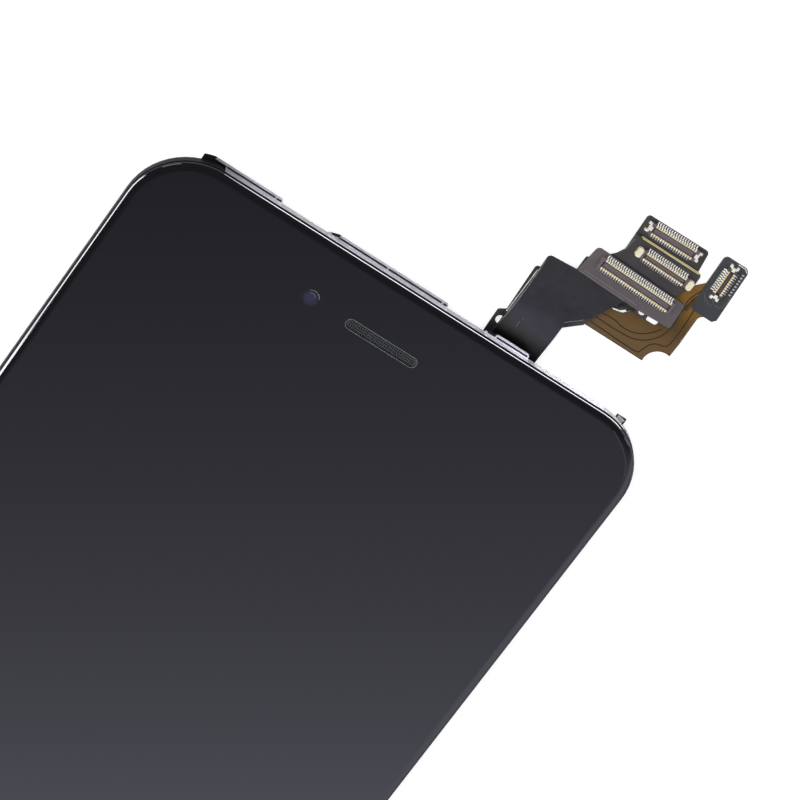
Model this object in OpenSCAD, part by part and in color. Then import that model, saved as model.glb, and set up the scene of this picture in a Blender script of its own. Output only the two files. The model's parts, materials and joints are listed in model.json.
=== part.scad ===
// Phone display assembly, lying on its back: cover glass and liquid crystal module in a bezel frame,
// with the earpiece, front camera and home button fitted, and four flexible circuits that run out
// past the top edge to board connectors. Seen from above, +Y is the top of the phone.

/* [Panel] */
// Width over the bezel frame
panel_w = 76.7; // [72:0.1:82]
// Height over the bezel frame
panel_h = 157; // [150:0.5:165]
// Radius of the frame's outer corners
panel_r = 9; // [8:0.1:10]
// Step from the frame's outline in to the glass edge
glass_inset = 0.1; // [0.05:0.01:0.2]
// Thickness of the cover glass
glass_t = 0.7; // [0.6:0.05:0.9]
// Width of the curved band round the glass edge
edge_w = 1.1; // [0.8:0.05:1.4]
// Fall of that band from the flat to its outer edge
edge_drop = 0.42; // [0.3:0.02:0.5]

/* [Display stack] */
// Distance from the panel's sides in to the liquid crystal cell
side_margin = 2.85; // [2.6:0.05:3.2]
// Distance from the top and bottom edges in to the cell
end_margin = 15; // [14.8:0.1:15.4]
// Thickness of the cell with both polarisers
cell_t = 0.7; // [0.6:0.05:0.9]
// Thickness of the clear bonding layer under the cover glass
bond_t = 0.2; // [0.15:0.05:0.3]
// Depth of the backlight tray
tray_depth = 0.8; // [0.7:0.05:1.2]
// Sheet thickness of the tray
tray_t = 0.12; // [0.1:0.01:0.2]
// Play between a part of the stack and the pocket that holds it
stack_gap = 0.1; // [0.05:0.01:0.15]
// Sheet thickness of the shield plate
shield_t = 0.2; // [0.15:0.05:0.3]
// Margin of the shield plate past the tray
shield_margin = 0.1; // [0:0.05:0.1]
// Height of the shield plate over the surface that the assembly lies on
under_depth = 2; // [1.9:0.05:2.4]

/* [Bezel frame] */
// Height of the frame's outer wall
frame_h = 1.4; // [1.2:0.05:1.5]
// Thickness of the frame's outer wall
frame_wall = 1.1; // [0.8:0.05:1.2]
// Thickness of the ledge and webs that the glass is bonded to
web_t = 0.4; // [0.3:0.05:0.5]
// Room between the ledge inside the wall and the cell
ledge_gap = 0.5; // [0.4:0.05:0.6]
// Radius of the bosses for the shield plate's screws
boss_r = 0.85; // [0.75:0.05:0.95]
// Radius of the posts for the bracket screws
post_r = 1.2; // [1:0.05:1.3]
// Radius of the screw shanks
shank_r = 0.4; // [0.3:0.02:0.46]
// Play between a shank and its pilot hole
shank_gap = 0.03; // [0.02:0.01:0.05]
// Radius of the screw heads
head_r = 0.85; // [0.7:0.05:1]
// Thickness of the screw heads
head_t = 0.2; // [0.15:0.01:0.22]
// Number of clips along each side
side_clip_count = 5; // [3:1:7]
// Distance between the bottom edge's two screws
edge_screw_pitch = 21; // [18:0.5:24]
// Radius of the bottom edge's screw threads
edge_screw_r = 0.6; // [0.5:0.05:0.7]

/* [Top hooks] */
// Thickness of the steel hook strip
hook_t = 0.3; // [0.2:0.02:0.35]
// Reach of the hook lips past the frame
hook_reach = 0.62; // [0.5:0.02:0.8]
// Thickness of the hook lips
lip_t = 0.25; // [0.2:0.01:0.35]
// Width of the ledge inside the slots
lip_ledge = 0.17; // [0.12:0.01:0.2]
// Width of the slots along the lips
lip_slot = 0.15; // [0.12:0.01:0.18]
// Width of the bridges across those slots
lip_bridge = 0.2; // [0.14:0.02:0.3]
// Thickness of the plastic tabs under the lips
lip_floor = 0.15; // [0.1:0.01:0.2]

/* [Earpiece and camera] */
// Distance from the top edge to the earpiece slot and camera
ear_y = 8.17; // [7.8:0.01:8.6]
// Length of the earpiece slot
slot_len = 11; // [10:0.1:12]
// Width of the earpiece slot
slot_w = 1.6; // [1.4:0.05:1.8]
// Distance from the centreline to the front camera
camera_x = 10.8; // [10.6:0.05:11.2]
// Width of the camera module
camera_w = 6.4; // [6:0.1:6.6]
// Radius of the camera's lens
lens_r = 1.05; // [0.9:0.01:1.3]
// Length of the ear speaker
speaker_len = 12.6; // [12:0.1:13]
// Width of the ear speaker
speaker_w = 5.4; // [5:0.1:5.6]

/* [Home button] */
// Distance from the bottom edge to the button's centre
home_y = 8.9; // [8.5:0.1:9.3]
// Radius of the button with its ring
home_r = 5.5; // [5.2:0.05:5.7]
// Radial width of the steel ring
ring_w = 0.6; // [0.4:0.05:0.8]
// Play round the moving button
home_gap = 0.15; // [0.1:0.01:0.18]
// Travel of the button
home_travel = 0.25; // [0.15:0.01:0.3]

/* [Brackets] */
// Sheet thickness of the steel brackets
bracket_t = 0.25; // [0.2:0.01:0.3]
// Play round what the bracket pockets hold
pocket_gap = 0.2; // [0.1:0.05:0.3]

/* [Flexible circuits] */
// Thickness of each flexible circuit
flex_t = 0.12; // [0.1:0.01:0.14]
// Thickness of the black film over the display circuit
film_t = 0.06; // [0.04:0.01:0.08]
// Thickness of the stiffeners behind the connectors
stiff_t = 0.15; // [0.12:0.01:0.17]
// Room between one circuit and the next
layer_gap = 0.03; // [0.02:0.01:0.05]
// Rise of the display circuit's bend outside the frame
ribbon_rise = 0.35; // [0.2:0.05:0.5]
// Reach of the home button's connector past the top edge
reach = 25.4; // [25.2:0.1:26]

/* [Connectors] */
// Contact spacing
pitch = 0.35; // [0.33:0.01:0.36]
// Contacts in each row of the display connector
lcd_pins = 30; // [26:1:30]
// Contacts in each row of the touch connector
touch_pins = 18; // [14:1:18]
// Contacts in each row of the camera and sensor connector
sensor_pins = 18; // [14:1:18]
// Contacts in each row of the home button connector
home_pins = 10; // [7:1:10]
// Height of the connector bodies
plug_h = 0.5; // [0.45:0.05:0.6]
// Thickness of a connector's long walls
plug_wall = 0.3; // [0.26:0.02:0.34]
// Thickness of the contact strip metal
contact_t = 0.06; // [0.04:0.01:0.08]
// Length of the solder tails
tail_len = 0.42; // [0.3:0.02:0.5]

/* [Hidden] */
$fn = 64;

// Places in the plan: the top edge and the bottom edge, with the origin midway in the whole length
top_y = (panel_h - reach) / 2;
bottom_y = top_y - panel_h;
mid_y = (top_y + bottom_y) / 2;

// Heights of the layers, from the surface up
z_tray = under_depth + shield_t;
z_cell = z_tray + tray_depth;
z_bond = z_cell + cell_t;
z_glass = z_bond + bond_t;
z_top = z_glass + glass_t;
z_frame = z_glass - frame_h;
z_web = z_glass - web_t;
z_flange = head_t + bracket_t;

// Outlines of the cell and of the tray that holds it
cell_w = panel_w - 2 * side_margin;
cell_h = panel_h - 2 * end_margin;
ledge_w = side_margin - frame_wall - ledge_gap;
tray_wall = tray_t + 0.03;
tray_w = cell_w + 2 * stack_gap + 2 * tray_wall;
tray_h = cell_h + 2 * stack_gap + 2 * tray_wall;

// Screws of the shield plate, along the inner side of the wall
shield_screw_x = panel_w / 2 - frame_wall - 0.3;
shield_screw_step = (panel_h - 2 * panel_r - 35) / 3;
shield_screw_ys = [for (i = [-1.5:1.5]) i * shield_screw_step];

// Screws of the two brackets, from the top edge and from the bottom edge
top_posts = [[-18.2, -9.5], [-8, -2.75], [9.4, -9.6]];
home_posts = [[-10.5, 5], [10.5, 5], [-10.5, 12.2], [10.5, 12.2]];

// Heights of the four flexible circuits inside the panel and outside it, lowest first
home_in = under_depth - 4 * flex_t;
sensor_in = under_depth - 3 * flex_t;
touch_in = under_depth - 2 * flex_t;
lcd_in = under_depth - flex_t;
layer_step = flex_t + stiff_t + layer_gap;
home_out = stiff_t;
sensor_out = home_out + layer_step;
touch_out = sensor_out + layer_step;
lcd_out = touch_out + layer_step;

// Where each circuit bends down behind the frame's top edge
bend_start = -6;
bend_end = -1;

// Home button heights and radii
cap_r = home_r - ring_w - 0.02;
flange_r = home_r + 0.9;
gasket_w = 0.75;
cap_low = z_web - 0.2;
stem_low = z_flange + 0.84;
home_flex_low = bracket_t;
switch_base = home_flex_low + flex_t;
switch_top = stem_low - home_travel - 0.04;

// Rounded outlines: each point is [x, y, corner radius]
arc_steps = 5;
bend_steps = 8;
function unit(v) = v / norm(v);
function corner(a, b, c, r) = r == 0 ? [b] :
    let (u = unit(a - b), v = unit(c - b), half = acos(u * v) / 2,
        centre = b + unit(u + v) * r / sin(half),
        from = b + u * r / tan(half) - centre, to = b + v * r / tan(half) - centre,
        start = atan2(from.y, from.x),
        sweep = (atan2(to.y, to.x) - start + 540) % 360 - 180)
    [for (i = [0:arc_steps]) let (a = start + sweep * i / arc_steps) centre + r * [cos(a), sin(a)]];
function rounded(path) = let (n = len(path))
    [for (i = [0:n - 1]) let (p = path[i], q = path[(i + n - 1) % n], s = path[(i + 1) % n])
        each corner([q.x, q.y], [p.x, p.y], [s.x, s.y], p.z)];

// Side line of a circuit that passes through the given [y, z] places, level or in smooth bends
function ease(t) = t * t * (3 - 2 * t);
function side_line(knots) = [
    for (i = [0:len(knots) - 2])
        let (a = knots[i], b = knots[i + 1], n = a[1] == b[1] ? 1 : bend_steps)
        for (k = [0:n - 1]) [a[0] + (b[0] - a[0]) * k / n, a[1] + (b[1] - a[1]) * ease(k / n)],
    knots[len(knots) - 1]];

module from_top(x = 0, y = 0, z = 0) translate([x, top_y + y, z]) children();
module from_bottom(x = 0, y = 0, z = 0) translate([x, bottom_y + y, z]) children();
module from_centre(x = 0, y = 0, z = 0) translate([x, mid_y + y, z]) children();

module round_rect(w, h, r) {
    square([w - 2 * r, h], center = true);
    square([w, h - 2 * r], center = true);
    for (sx = [-1, 1], sy = [-1, 1])
        translate([sx * (w / 2 - r), sy * (h / 2 - r)]) circle(r);
}

module slab(w, h, t, r) linear_extrude(t) round_rect(w, h, r);

module stadium(len, w) {
    square([len - w, w], center = true);
    for (s = [-1, 1]) translate([s * (len - w) / 2, 0]) circle(w / 2);
}

// A section swept round a rounded rectangle: x = 0 on the outline and negative inwards
module rim(w, h, r) {
    for (a = [0, 180]) {
        rotate(a) translate([w / 2, 0]) rotate([90, 0, 0])
            linear_extrude(h - 2 * r, center = true) children();
        rotate(a + 90) translate([h / 2, 0]) rotate([90, 0, 0])
            linear_extrude(w - 2 * r, center = true) children();
        rotate(a) translate([w / 2 - r, h / 2 - r]) rotate_extrude(angle = 90)
            translate([r, 0]) children();
        rotate(a) translate([r - w / 2, h / 2 - r]) rotate([0, 0, 90]) rotate_extrude(angle = 90)
            translate([r, 0]) children();
    }
}

// A thin sheet that follows a side line along Y, cut to the plan outline given as the child
module bent(knots, t) {
    line = side_line(knots);
    back = [for (i = [len(line) - 1:-1:0]) line[i] + [0, t]];
    intersection() {
        translate([-panel_w / 2, 0]) rotate([90, 0, 90])
            linear_extrude(panel_w) polygon(concat(line, back));
        linear_extrude(z_top) children();
    }
}

// Screw with a flat head that faces down and a cross recess
module screw(length) {
    difference() {
        cylinder(r = head_r, h = head_t);
        translate([0, 0, head_t / 4]) cube([head_r * 1.1, head_r / 4, head_t / 2 + 0.01], center = true);
        translate([0, 0, head_t / 4]) cube([head_r / 4, head_r * 1.1, head_t / 2 + 0.01], center = true);
    }
    translate([0, 0, head_t]) cylinder(r = shank_r, h = length);
}

// Cover glass with its curved edge, the earpiece slot and the hole for the home button
module glass_edge() {
    side = glass_t - edge_drop;
    curve = [for (i = [0:bend_steps]) let (a = 90 * i / bend_steps)
        [edge_w * (cos(a) - 1), side + edge_drop * sin(a)]];
    polygon(concat([[-edge_w, 0], [-0.06, 0], [0, 0.06]], curve));
}

module cover_glass() color("#17181c") {
    w = panel_w - 2 * glass_inset;
    h = panel_h - 2 * glass_inset;
    difference() {
        from_centre(z = z_glass) {
            rim(w, h, panel_r - glass_inset) glass_edge();
            slab(w - 2 * edge_w, h - 2 * edge_w, glass_t, panel_r - glass_inset - edge_w);
        }
        from_top(y = -ear_y, z = z_glass - 1) linear_extrude(glass_t + 2) stadium(slot_len, slot_w);
        from_bottom(y = home_y, z = z_glass - 1) cylinder(r = home_r + home_gap, h = glass_t + 2);
    }
}

// Two glass sheets: the lower one stands out at the bottom, where the driver chip sits
chip_ledge = 2.6;
module optical_adhesive() color("#c9d3da") from_centre(y = chip_ledge / 2, z = z_bond)
    slab(cell_w - 1, cell_h - chip_ledge - 1, bond_t, 0.5);

module lcd_cell() color("#202228") from_centre(z = z_cell) {
    slab(cell_w, cell_h, cell_t / 2, 0.3);
    translate([0, chip_ledge / 2, cell_t / 2]) slab(cell_w, cell_h - chip_ledge, cell_t / 2, 0.3);
}

module light_guide() color("#e8ecee") from_centre(z = z_tray + tray_t)
    slab(cell_w, cell_h, tray_depth - tray_t, 0.3);

module backlight_tray() color("#b9bcc0") from_centre(z = z_tray) difference() {
    slab(tray_w, tray_h, tray_depth, 0.5);
    translate([0, 0, tray_t]) slab(tray_w - 2 * tray_wall, tray_h - 2 * tray_wall, tray_depth, 0.3);
}

// Shield plate with screw ears, pressed ribs and a window over the ribbon's root
module shield_ears(r) for (s = [-1, 1], y = shield_screw_ys)
    translate([s * shield_screw_x, y]) circle(r);

module shield_outline() difference() {
    union() {
        round_rect(tray_w + 2 * shield_margin, tray_h + 2 * shield_margin, 1.5);
        for (s = [-1, 1], y = shield_screw_ys)
            translate([s * (shield_screw_x - 2), y]) square([4, 2 * head_r + 0.4], center = true);
        shield_ears(head_r + 0.2);
    }
    shield_ears(shank_r + 2 * shank_gap);
}

rib_w = 1.8;
rib_frame_w = cell_w - 21;
rib_frame_h = cell_h - 31;
module shield_ribs() translate([-6, 0]) {
    difference() {
        round_rect(rib_frame_w, rib_frame_h, 4);
        round_rect(rib_frame_w - 2 * rib_w, rib_frame_h - 2 * rib_w, 4 - rib_w);
    }
    for (s = [-1, 1]) translate([0, s * rib_frame_h / 6]) stadium(rib_frame_w - 12, rib_w);
}

module shield_plate() color("#a4a7ab") {
    from_centre(z = under_depth) linear_extrude(shield_t) shield_outline();
    from_centre(z = under_depth - flex_t) linear_extrude(flex_t) shield_ribs();
}

module shield_screws() color("#8d9094") for (s = [-1, 1], y = shield_screw_ys)
    from_centre(s * shield_screw_x, y, under_depth - head_t) screw(1.1);

// Bezel frame: swept wall and ledge, webs behind the top and bottom margins, bosses and posts
module frame_section() polygon([[-frame_wall - ledge_w, frame_h], [-frame_wall - ledge_w, frame_h - web_t],
    [-frame_wall, frame_h - web_t], [-frame_wall, 0.25], [-frame_wall + 0.25, 0], [-0.15, 0],
    [0, 0.15], [0, frame_h]]);

web_edge = end_margin - 0.4;
module top_web() difference() {
    translate([0, -web_edge / 2]) square([panel_w - 2 * frame_wall, web_edge], center = true);
    translate([0, -ear_y]) round_rect(speaker_len + 0.8, speaker_w + 0.6, 0.6);
    translate([-camera_x, -ear_y]) circle(camera_w / 2 + 0.2);
    translate([foot_x, -web_edge]) square([foot_w + 1.4, 1.8], center = true);
}

module bottom_web() {
    translate([0, web_edge / 2]) square([panel_w - 2 * frame_wall, web_edge], center = true);
}

module inner_outline() round_rect(panel_w - 2 * frame_wall + 0.2, panel_h - 2 * frame_wall + 0.2,
    panel_r - frame_wall + 0.1);

module bezel_frame() color("#1b1c1f") difference() {
    union() {
        from_centre(z = z_frame) rim(panel_w, panel_h, panel_r) frame_section();
        intersection() {
            union() {
                from_top(z = z_web) linear_extrude(web_t) top_web();
                from_bottom(z = z_web) linear_extrude(web_t) bottom_web();
            }
            from_centre() linear_extrude(z_top) inner_outline();
        }
        for (s = [-1, 1], y = shield_screw_ys)
            from_centre(s * shield_screw_x, y, z_tray) cylinder(r = boss_r, h = z_web - z_tray + 0.1);
        for (p = top_posts) from_top(p.x, p.y, z_flange) cylinder(r = post_r, h = z_web - z_flange + 0.1);
        for (p = home_posts) from_bottom(p.x, p.y, z_flange) cylinder(r = post_r, h = z_web - z_flange + 0.1);
        for (l = lips) from_top() lip_tab(l[0], l[1]);
        from_top(hook_len / 2 + 1.95, -0.8, z_frame - 0.3) cube([1.4, 0.95, 0.4]);
    }
    from_bottom(y = home_y, z = z_web - 0.1) cylinder(r = flange_r + home_gap + gasket_w, h = 2);
    from_top(y = -sensor_y, z = z_web - 0.1) slab(sensor_w + 0.2, sensor_h + 0.2, 2, 0.3);
    from_top(-hook_len / 2, -hook_t, hook_low) cube([hook_len, 1, hook_top - hook_low]);
    for (s = [-1, 1], y = shield_screw_ys)
        from_centre(s * shield_screw_x, y, z_tray - 1) cylinder(r = shank_r + shank_gap, h = 2.2);
    for (p = top_posts) from_top(p.x, p.y, z_flange - 1) cylinder(r = shank_r + shank_gap, h = 3);
    for (p = home_posts) from_bottom(p.x, p.y, z_flange - 1) cylinder(r = shank_r + shank_gap, h = 3);
}

// Steel strip let into the frame's top edge, with hook lips that catch the phone's housing
hook_len = panel_w - 2 * panel_r;
hook_top = z_glass - 0.15;
hook_low = z_frame - 0.1;
lips = [[-32.6, -20.9, [-21.85]], [-13.7, 4.6, [-12.45, -4.7, 3.75]], [10.5, 17.2, [12.1]]];
lip_start = 1.5;

// Steel lip: ledge, slot with bridges, and an outer bar that starts short of the left end
module lip(from, to, bridges) difference() {
    linear_extrude(lip_t) {
        polygon(rounded([[from + lip_start, 0, 0], [to, 0, 0], [to, hook_reach, hook_reach * 0.7],
            [from + lip_start, hook_reach, hook_reach * 0.6]]));
        translate([from, -hook_t / 2]) square([to - from, lip_ledge + hook_t / 2]);
    }
    difference() {
        translate([from - 1, lip_ledge, -1]) cube([to - from + 0.65, lip_slot, lip_t + 2]);
        for (x = bridges) translate([x - lip_bridge / 2, -1, -1]) cube([lip_bridge, 3, lip_t + 2]);
    }
    translate([-panel_w, -1, -1]) cube([panel_w - hook_len / 2, 1 + lip_ledge + lip_slot, lip_t + 2]);
}

// Black tab of the frame's plastic that carries a lip and closes its slot from below
module lip_tab(from, to) {
    translate([0, 0, hook_low - lip_floor]) linear_extrude(lip_floor) polygon(rounded([[from, -0.9, 0],
        [to - 0.1, -0.9, 0], [to - 0.1, hook_reach - 0.08, 0.4], [from + 1.3, hook_reach - 0.08, 1],
        [from, hook_reach - 0.5, 0.2]]));
    translate([from, -0.9, hook_low - lip_floor])
        cube([to - from - 0.1, 0.9 - hook_t - 0.05, z_frame - hook_low + lip_floor + 0.1]);
}

module top_hook_strip() color("#a9aab2") {
    from_top(-hook_len / 2, -hook_t, hook_low) cube([hook_len, hook_t, hook_top - hook_low]);
    for (l = lips) from_top(z = hook_low) lip(l[0], l[1], l[2]);
}

// Slotted steel clips along both long sides
module side_clip() difference() {
    translate([-0.15, -3, 0]) cube([0.3, 6, z_frame - 1.25]);
    translate([-1, -2, 0.35]) cube([2, 4, 0.5]);
}

module side_clips() color("#8f9297") for (s = [-1, 1], i = [0:side_clip_count - 1]) {
    span = panel_h - 2 * panel_r - 18;
    from_centre(s * (panel_w / 2 - frame_wall / 2), span * (i / (side_clip_count - 1) - 0.5), 1.25)
        side_clip();
}

// Two tabs with threaded holes, for the screws in the phone's bottom edge
tab_low = 0.4;
edge_screw_z = 1.35;
module bottom_screw_tabs() color("#9a9da2") for (s = [-1, 1])
    from_bottom(s * edge_screw_pitch / 2, 0.3) difference() {
        union() {
            translate([-1.6, 0, tab_low]) cube([3.2, 0.7, z_frame - tab_low]);
            translate([-1.6, 0, z_frame - 0.3]) cube([3.2, 0.79, 0.3]);
        }
        translate([0, -1, edge_screw_z]) rotate([-90, 0, 0]) cylinder(r = edge_screw_r, h = 3);
    }

// Earpiece: woven cup in the glass slot, rubber channel and speaker
mesh_rim = 0.1;
mesh_pitch = 0.32;
module earpiece_mesh() color("#6d6f76") from_top(y = -ear_y, z = z_glass) {
    difference() {
        linear_extrude(glass_t - 0.08) stadium(slot_len - 0.04, slot_w - 0.04);
        translate([0, 0, -1]) linear_extrude(glass_t + 2)
            stadium(slot_len - 0.04 - 2 * mesh_rim, slot_w - 0.04 - 2 * mesh_rim);
    }
    translate([0, 0, glass_t - 0.34]) linear_extrude(0.1) difference() {
        stadium(slot_len - 0.04 - mesh_rim, slot_w - 0.04 - mesh_rim);
        for (x = [-15:15], y = [-1.5:1.5]) translate([x, y] * mesh_pitch) square(0.18, center = true);
    }
}

speaker_low = bracket_t;
speaker_top = z_glass - 1.05;
module earpiece_gasket() color("#26272b") from_top(y = -ear_y, z = speaker_top)
    linear_extrude(z_glass - speaker_top) difference() {
        round_rect(slot_len + 2, slot_w + 2.2, 0.8);
        stadium(slot_len - 0.6, slot_w - 0.6);
    }

module ear_speaker() color("#3b3c40") from_top(y = -ear_y) {
    translate([0, 0, speaker_low]) slab(speaker_len, speaker_w, 0.9, 0.5);
    translate([0, 0, speaker_low + 0.9]) difference() {
        slab(speaker_len - 0.4, speaker_w - 0.4, speaker_top - speaker_low - 0.9, 0.8);
        translate([0, 0, speaker_top - speaker_low - 1.1]) linear_extrude(1) stadium(slot_len - 1.2, 1);
    }
}

// Front camera: square body, round barrel, lens and the ring that centres it under the glass
barrel_r = 2.5;
body_top = z_web - 0.3;
barrel_top = z_glass - 0.15;
module front_camera() color("#2a2b2f") from_top(-camera_x, -ear_y) {
    translate([0, 0, z_flange]) slab(camera_w, camera_w, 0.5, 0.4);
    translate([0, 0, z_flange + 0.5]) slab(camera_w - 0.3, camera_w - 0.3, body_top - z_flange - 0.5, 0.8);
    translate([0, 0, body_top]) difference() {
        cylinder(r = barrel_r, h = barrel_top - body_top);
        translate([0, 0, barrel_top - body_top - 0.25])
            cylinder(r1 = lens_r, r2 = lens_r + 0.35, h = 0.26);
    }
}

module camera_lens() color("#3a3550") from_top(-camera_x, -ear_y, barrel_top - 0.25) intersection() {
    cylinder(r = lens_r - 0.02, h = 0.24);
    translate([0, 0, -2.4]) sphere(r = 2.6);
}

module camera_ring() color("#151517") from_top(-camera_x, -ear_y, body_top) difference() {
    cylinder(r = camera_w / 2, h = z_glass - body_top);
    translate([0, 0, -1]) cylinder(r = barrel_r + 0.05, h = 3);
}

// Light sensor above the earpiece in its holder, and the microphone beside it
sensor_w = 4.6;
sensor_h = 2.7;
sensor_y = 2.9;
module sensor_holder() color("#202124") from_top(y = -sensor_y, z = sensor_in + flex_t) difference() {
    slab(sensor_w, sensor_h, z_glass - sensor_in - flex_t, 0.3);
    translate([0, 0, -1]) slab(sensor_w - 0.9, sensor_h - 0.9, 5, 0.2);
}

module light_sensor() color("#3f4652") from_top(y = -sensor_y, z = sensor_in + flex_t)
    slab(sensor_w - 1.1, sensor_h - 1.1, 0.7, 0.15);

module microphone() color("#c3b27c") from_top(6.2, -sensor_y, sensor_in + flex_t) difference() {
    slab(3, 2, 0.9, 0.25);
    translate([0.7, 0, 0.6]) cylinder(r = 0.25, h = 1);
}

// Top bracket: sheet with a pocket pressed round the ear speaker
module top_bracket_outline() polygon(rounded([[-20, -11.4, 1], [-20, -7.6, 1], [-15, -3.4, 1.5],
    [-11, -1.4, 1], [-5.6, -1.4, 1], [-5, -4.9, 0.5], [7.6, -4.9, 0.5], [7.9, -7.6, 0.4],
    [11.1, -7.6, 1], [11.1, -11.4, 1]]));

module top_bracket() color("#85888d") from_top() difference() {
    union() {
        translate([0, 0, head_t]) linear_extrude(bracket_t) top_bracket_outline();
        translate([0, -ear_y]) slab(speaker_len + 2 * pocket_gap + 1, speaker_w + 2 * pocket_gap + 1,
            z_flange, 1);
    }
    translate([0, -ear_y, bracket_t]) slab(speaker_len + 2 * pocket_gap, speaker_w + 2 * pocket_gap, 1, 0.6);
    for (p = top_posts) translate([p.x, p.y, -1]) cylinder(r = shank_r + 2 * shank_gap, h = 3);
}

module top_bracket_screws() color("#8d9094") for (p = top_posts) from_top(p.x, p.y) screw(2);

// Home button: cap with its sensor package and stem, ring, seal, dome switch and bracket
module home_button() color("#121317") from_bottom(y = home_y) {
    translate([0, 0, cap_low]) cylinder(r = cap_r, h = z_top - 0.1 - cap_low);
    translate([0, 0, stem_low + 0.6]) cylinder(r = cap_r - 1, h = cap_low - stem_low - 0.6);
    translate([0, 0, stem_low]) cylinder(r = 1.2, h = 0.6);
}

module home_ring() color("#4a4b50") from_bottom(y = home_y) rotate_extrude()
    polygon([[home_r - ring_w, z_web], [flange_r, z_web], [flange_r, z_web + 0.25],
        [home_r, z_web + 0.25], [home_r, z_top - 0.12], [home_r - 0.08, z_top - 0.04],
        [home_r - ring_w + 0.12, z_top - 0.04], [home_r - ring_w, z_top - 0.12]]);

module home_gasket() color("#2b2c30") from_bottom(y = home_y, z = z_web) difference() {
    cylinder(r = flange_r + home_gap + gasket_w - 0.03, h = web_t);
    translate([0, 0, -1]) cylinder(r = flange_r + home_gap, h = 3);
}

module home_switch() color("#b8babd") from_bottom(y = home_y) {
    translate([0, 0, switch_base]) slab(3.8, 3, switch_top - switch_base - 0.15, 0.3);
    translate([0, 0, switch_top - 0.15]) cylinder(r = 1.1, h = 0.15);
}

tongue_w = 5;
module home_bracket() color("#85888d") from_bottom() difference() {
    union() {
        translate([0, 8.6, head_t]) slab(24.4, 10.6, bracket_t, 1.5);
        translate([0, 9, 0]) slab(tongue_w + 2 * pocket_gap + 1, 9.8, z_flange, 0.6);
    }
    translate([-tongue_w / 2 - pocket_gap, 5, bracket_t]) cube([tongue_w + 2 * pocket_gap, 12, 1]);
    for (p = home_posts) translate([p.x, p.y, -1]) cylinder(r = shank_r + 2 * shank_gap, h = 3);
}

module home_bracket_screws() color("#8d9094") for (p = home_posts) from_bottom(p.x, p.y) screw(2);

// Display circuit: root under the shield, ribbon with a rise outside the frame, connector end
lcd_end = [[22.35, 11.6, 1.2], [23.2, 13.0, 0.5], [30.25, 13.3, 0.4], [30.02, 17.05, 0.35],
    [16.15, 17.45, 0.6], [15.7, 13.35, 0.4]];
lcd_strip = [[18.65, -15.5, 0.5], [18.65, 5.9, 1.3], [21.25, 9.2, 2]];
lcd_left = [[11.5, 13.05, 0.6], [11.72, 7.5, 0], [11.6, 3, 0], [11.6, -15.5, 0.5]];
lcd_root = [[6, -15.5, 0.6], [6, -20, 0.8], [24.5, -20, 0.8], [24.5, -15.5, 0.6]];
lcd_line = [[-20.5, lcd_in], [bend_start, lcd_in], [bend_end, lcd_out], [0, lcd_out],
    [4, lcd_out + ribbon_rise], [10, lcd_out], [18, lcd_out]];

module lcd_plan() polygon(rounded(concat(lcd_root, lcd_strip, lcd_end, lcd_left)));

module lcd_flex() color("#564d54") from_top() bent(lcd_line, flex_t) lcd_plan();

module lcd_flex_film() color("#2e2e36") from_top() bent([for (k = lcd_line) k + [0, flex_t]], film_t)
    intersection() {
        lcd_plan();
        polygon([[11, -0.9], [19, -0.9], [24, 9], [24, 13.08], [15.9, 13.3], [11, 13.3]]);
    }

module lcd_foil() color("#303136") from_top(y = 0, z = lcd_in - 0.05) linear_extrude(0.05)
    polygon(rounded([[7, -19, 0.5], [23.5, -19, 0.5], [23.5, -16.4, 0.5], [7, -16.4, 0.5]]));

module lcd_stiffener() color("#4c4449") from_top(z = lcd_out - stiff_t) linear_extrude(stiff_t)
    polygon(rounded([[30.15, 13.45, 0.4], [29.85, 17.1, 0.4], [16.15, 17.45, 0.6], [15.75, 13.6, 0.2]]));

// Board connector: floor, long walls with contacts over them, end walls and a middle tongue
module connector_body(pins, w) {
    length = pins * pitch + 0.9;
    difference() {
        slab(length, w, plug_h, 0.15);
        translate([0, 0, 0.15]) slab(length - 0.7, w - 2 * plug_wall, plug_h, 0.1);
    }
    translate([0, 0, 0.15]) slab(length - 1.2, w - 2 * plug_wall - 0.4, plug_h - 0.19, 0.08);
}

module contact_rows(pins, w) {
    out = w / 2;
    in = w / 2 - plug_wall;
    top = plug_h + contact_t;
    section = [[out, 0], [out + tail_len, 0], [out + tail_len, contact_t], [out + contact_t, contact_t],
        [out + contact_t, top], [in - contact_t, top], [in - contact_t, 0.3], [in, 0.3],
        [in, plug_h], [out, plug_h]];
    for (s = [0, 180], i = [0:pins - 1])
        rotate(s) translate([(i - (pins - 1) / 2) * pitch, 0]) rotate([90, 0, 90])
            linear_extrude(pitch * 0.56, center = true) polygon(section);
    for (s = [0, 180], i = [0:pins - 1])
        rotate(s) translate([(i - (pins - 1) / 2) * pitch, in, plug_h])
            translate([-pitch * 0.43, -contact_t, 0]) cube([pitch * 0.86, contact_t + 0.08, contact_t]);
}

// Soldered caps at the two ends of a connector
module end_caps(pins, w) for (s = [0, 180]) rotate(s)
    translate([pins * pitch / 2 + 0.45 + w / 2, 0]) slab(w, 1.35, plug_h + 0.1, w * 0.38);

// Clips at the two ends of a connector: a post, two soldered feet and a saddle on the end wall
module end_clips(pins, w) for (s = [0, 180]) rotate(s) translate([pins * pitch / 2 + 0.45, 0]) {
    translate([0, -w * 0.3, 0]) cube([0.22, w * 0.6, plug_h + contact_t]);
    translate([-0.3, -w * 0.17, plug_h]) cube([0.5, w * 0.34, contact_t]);
    for (y = [-1, 1]) translate([0.05, y * w * 0.34 - 0.17, 0]) cube([0.45, 0.34, plug_h * 0.7]);
}

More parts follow.
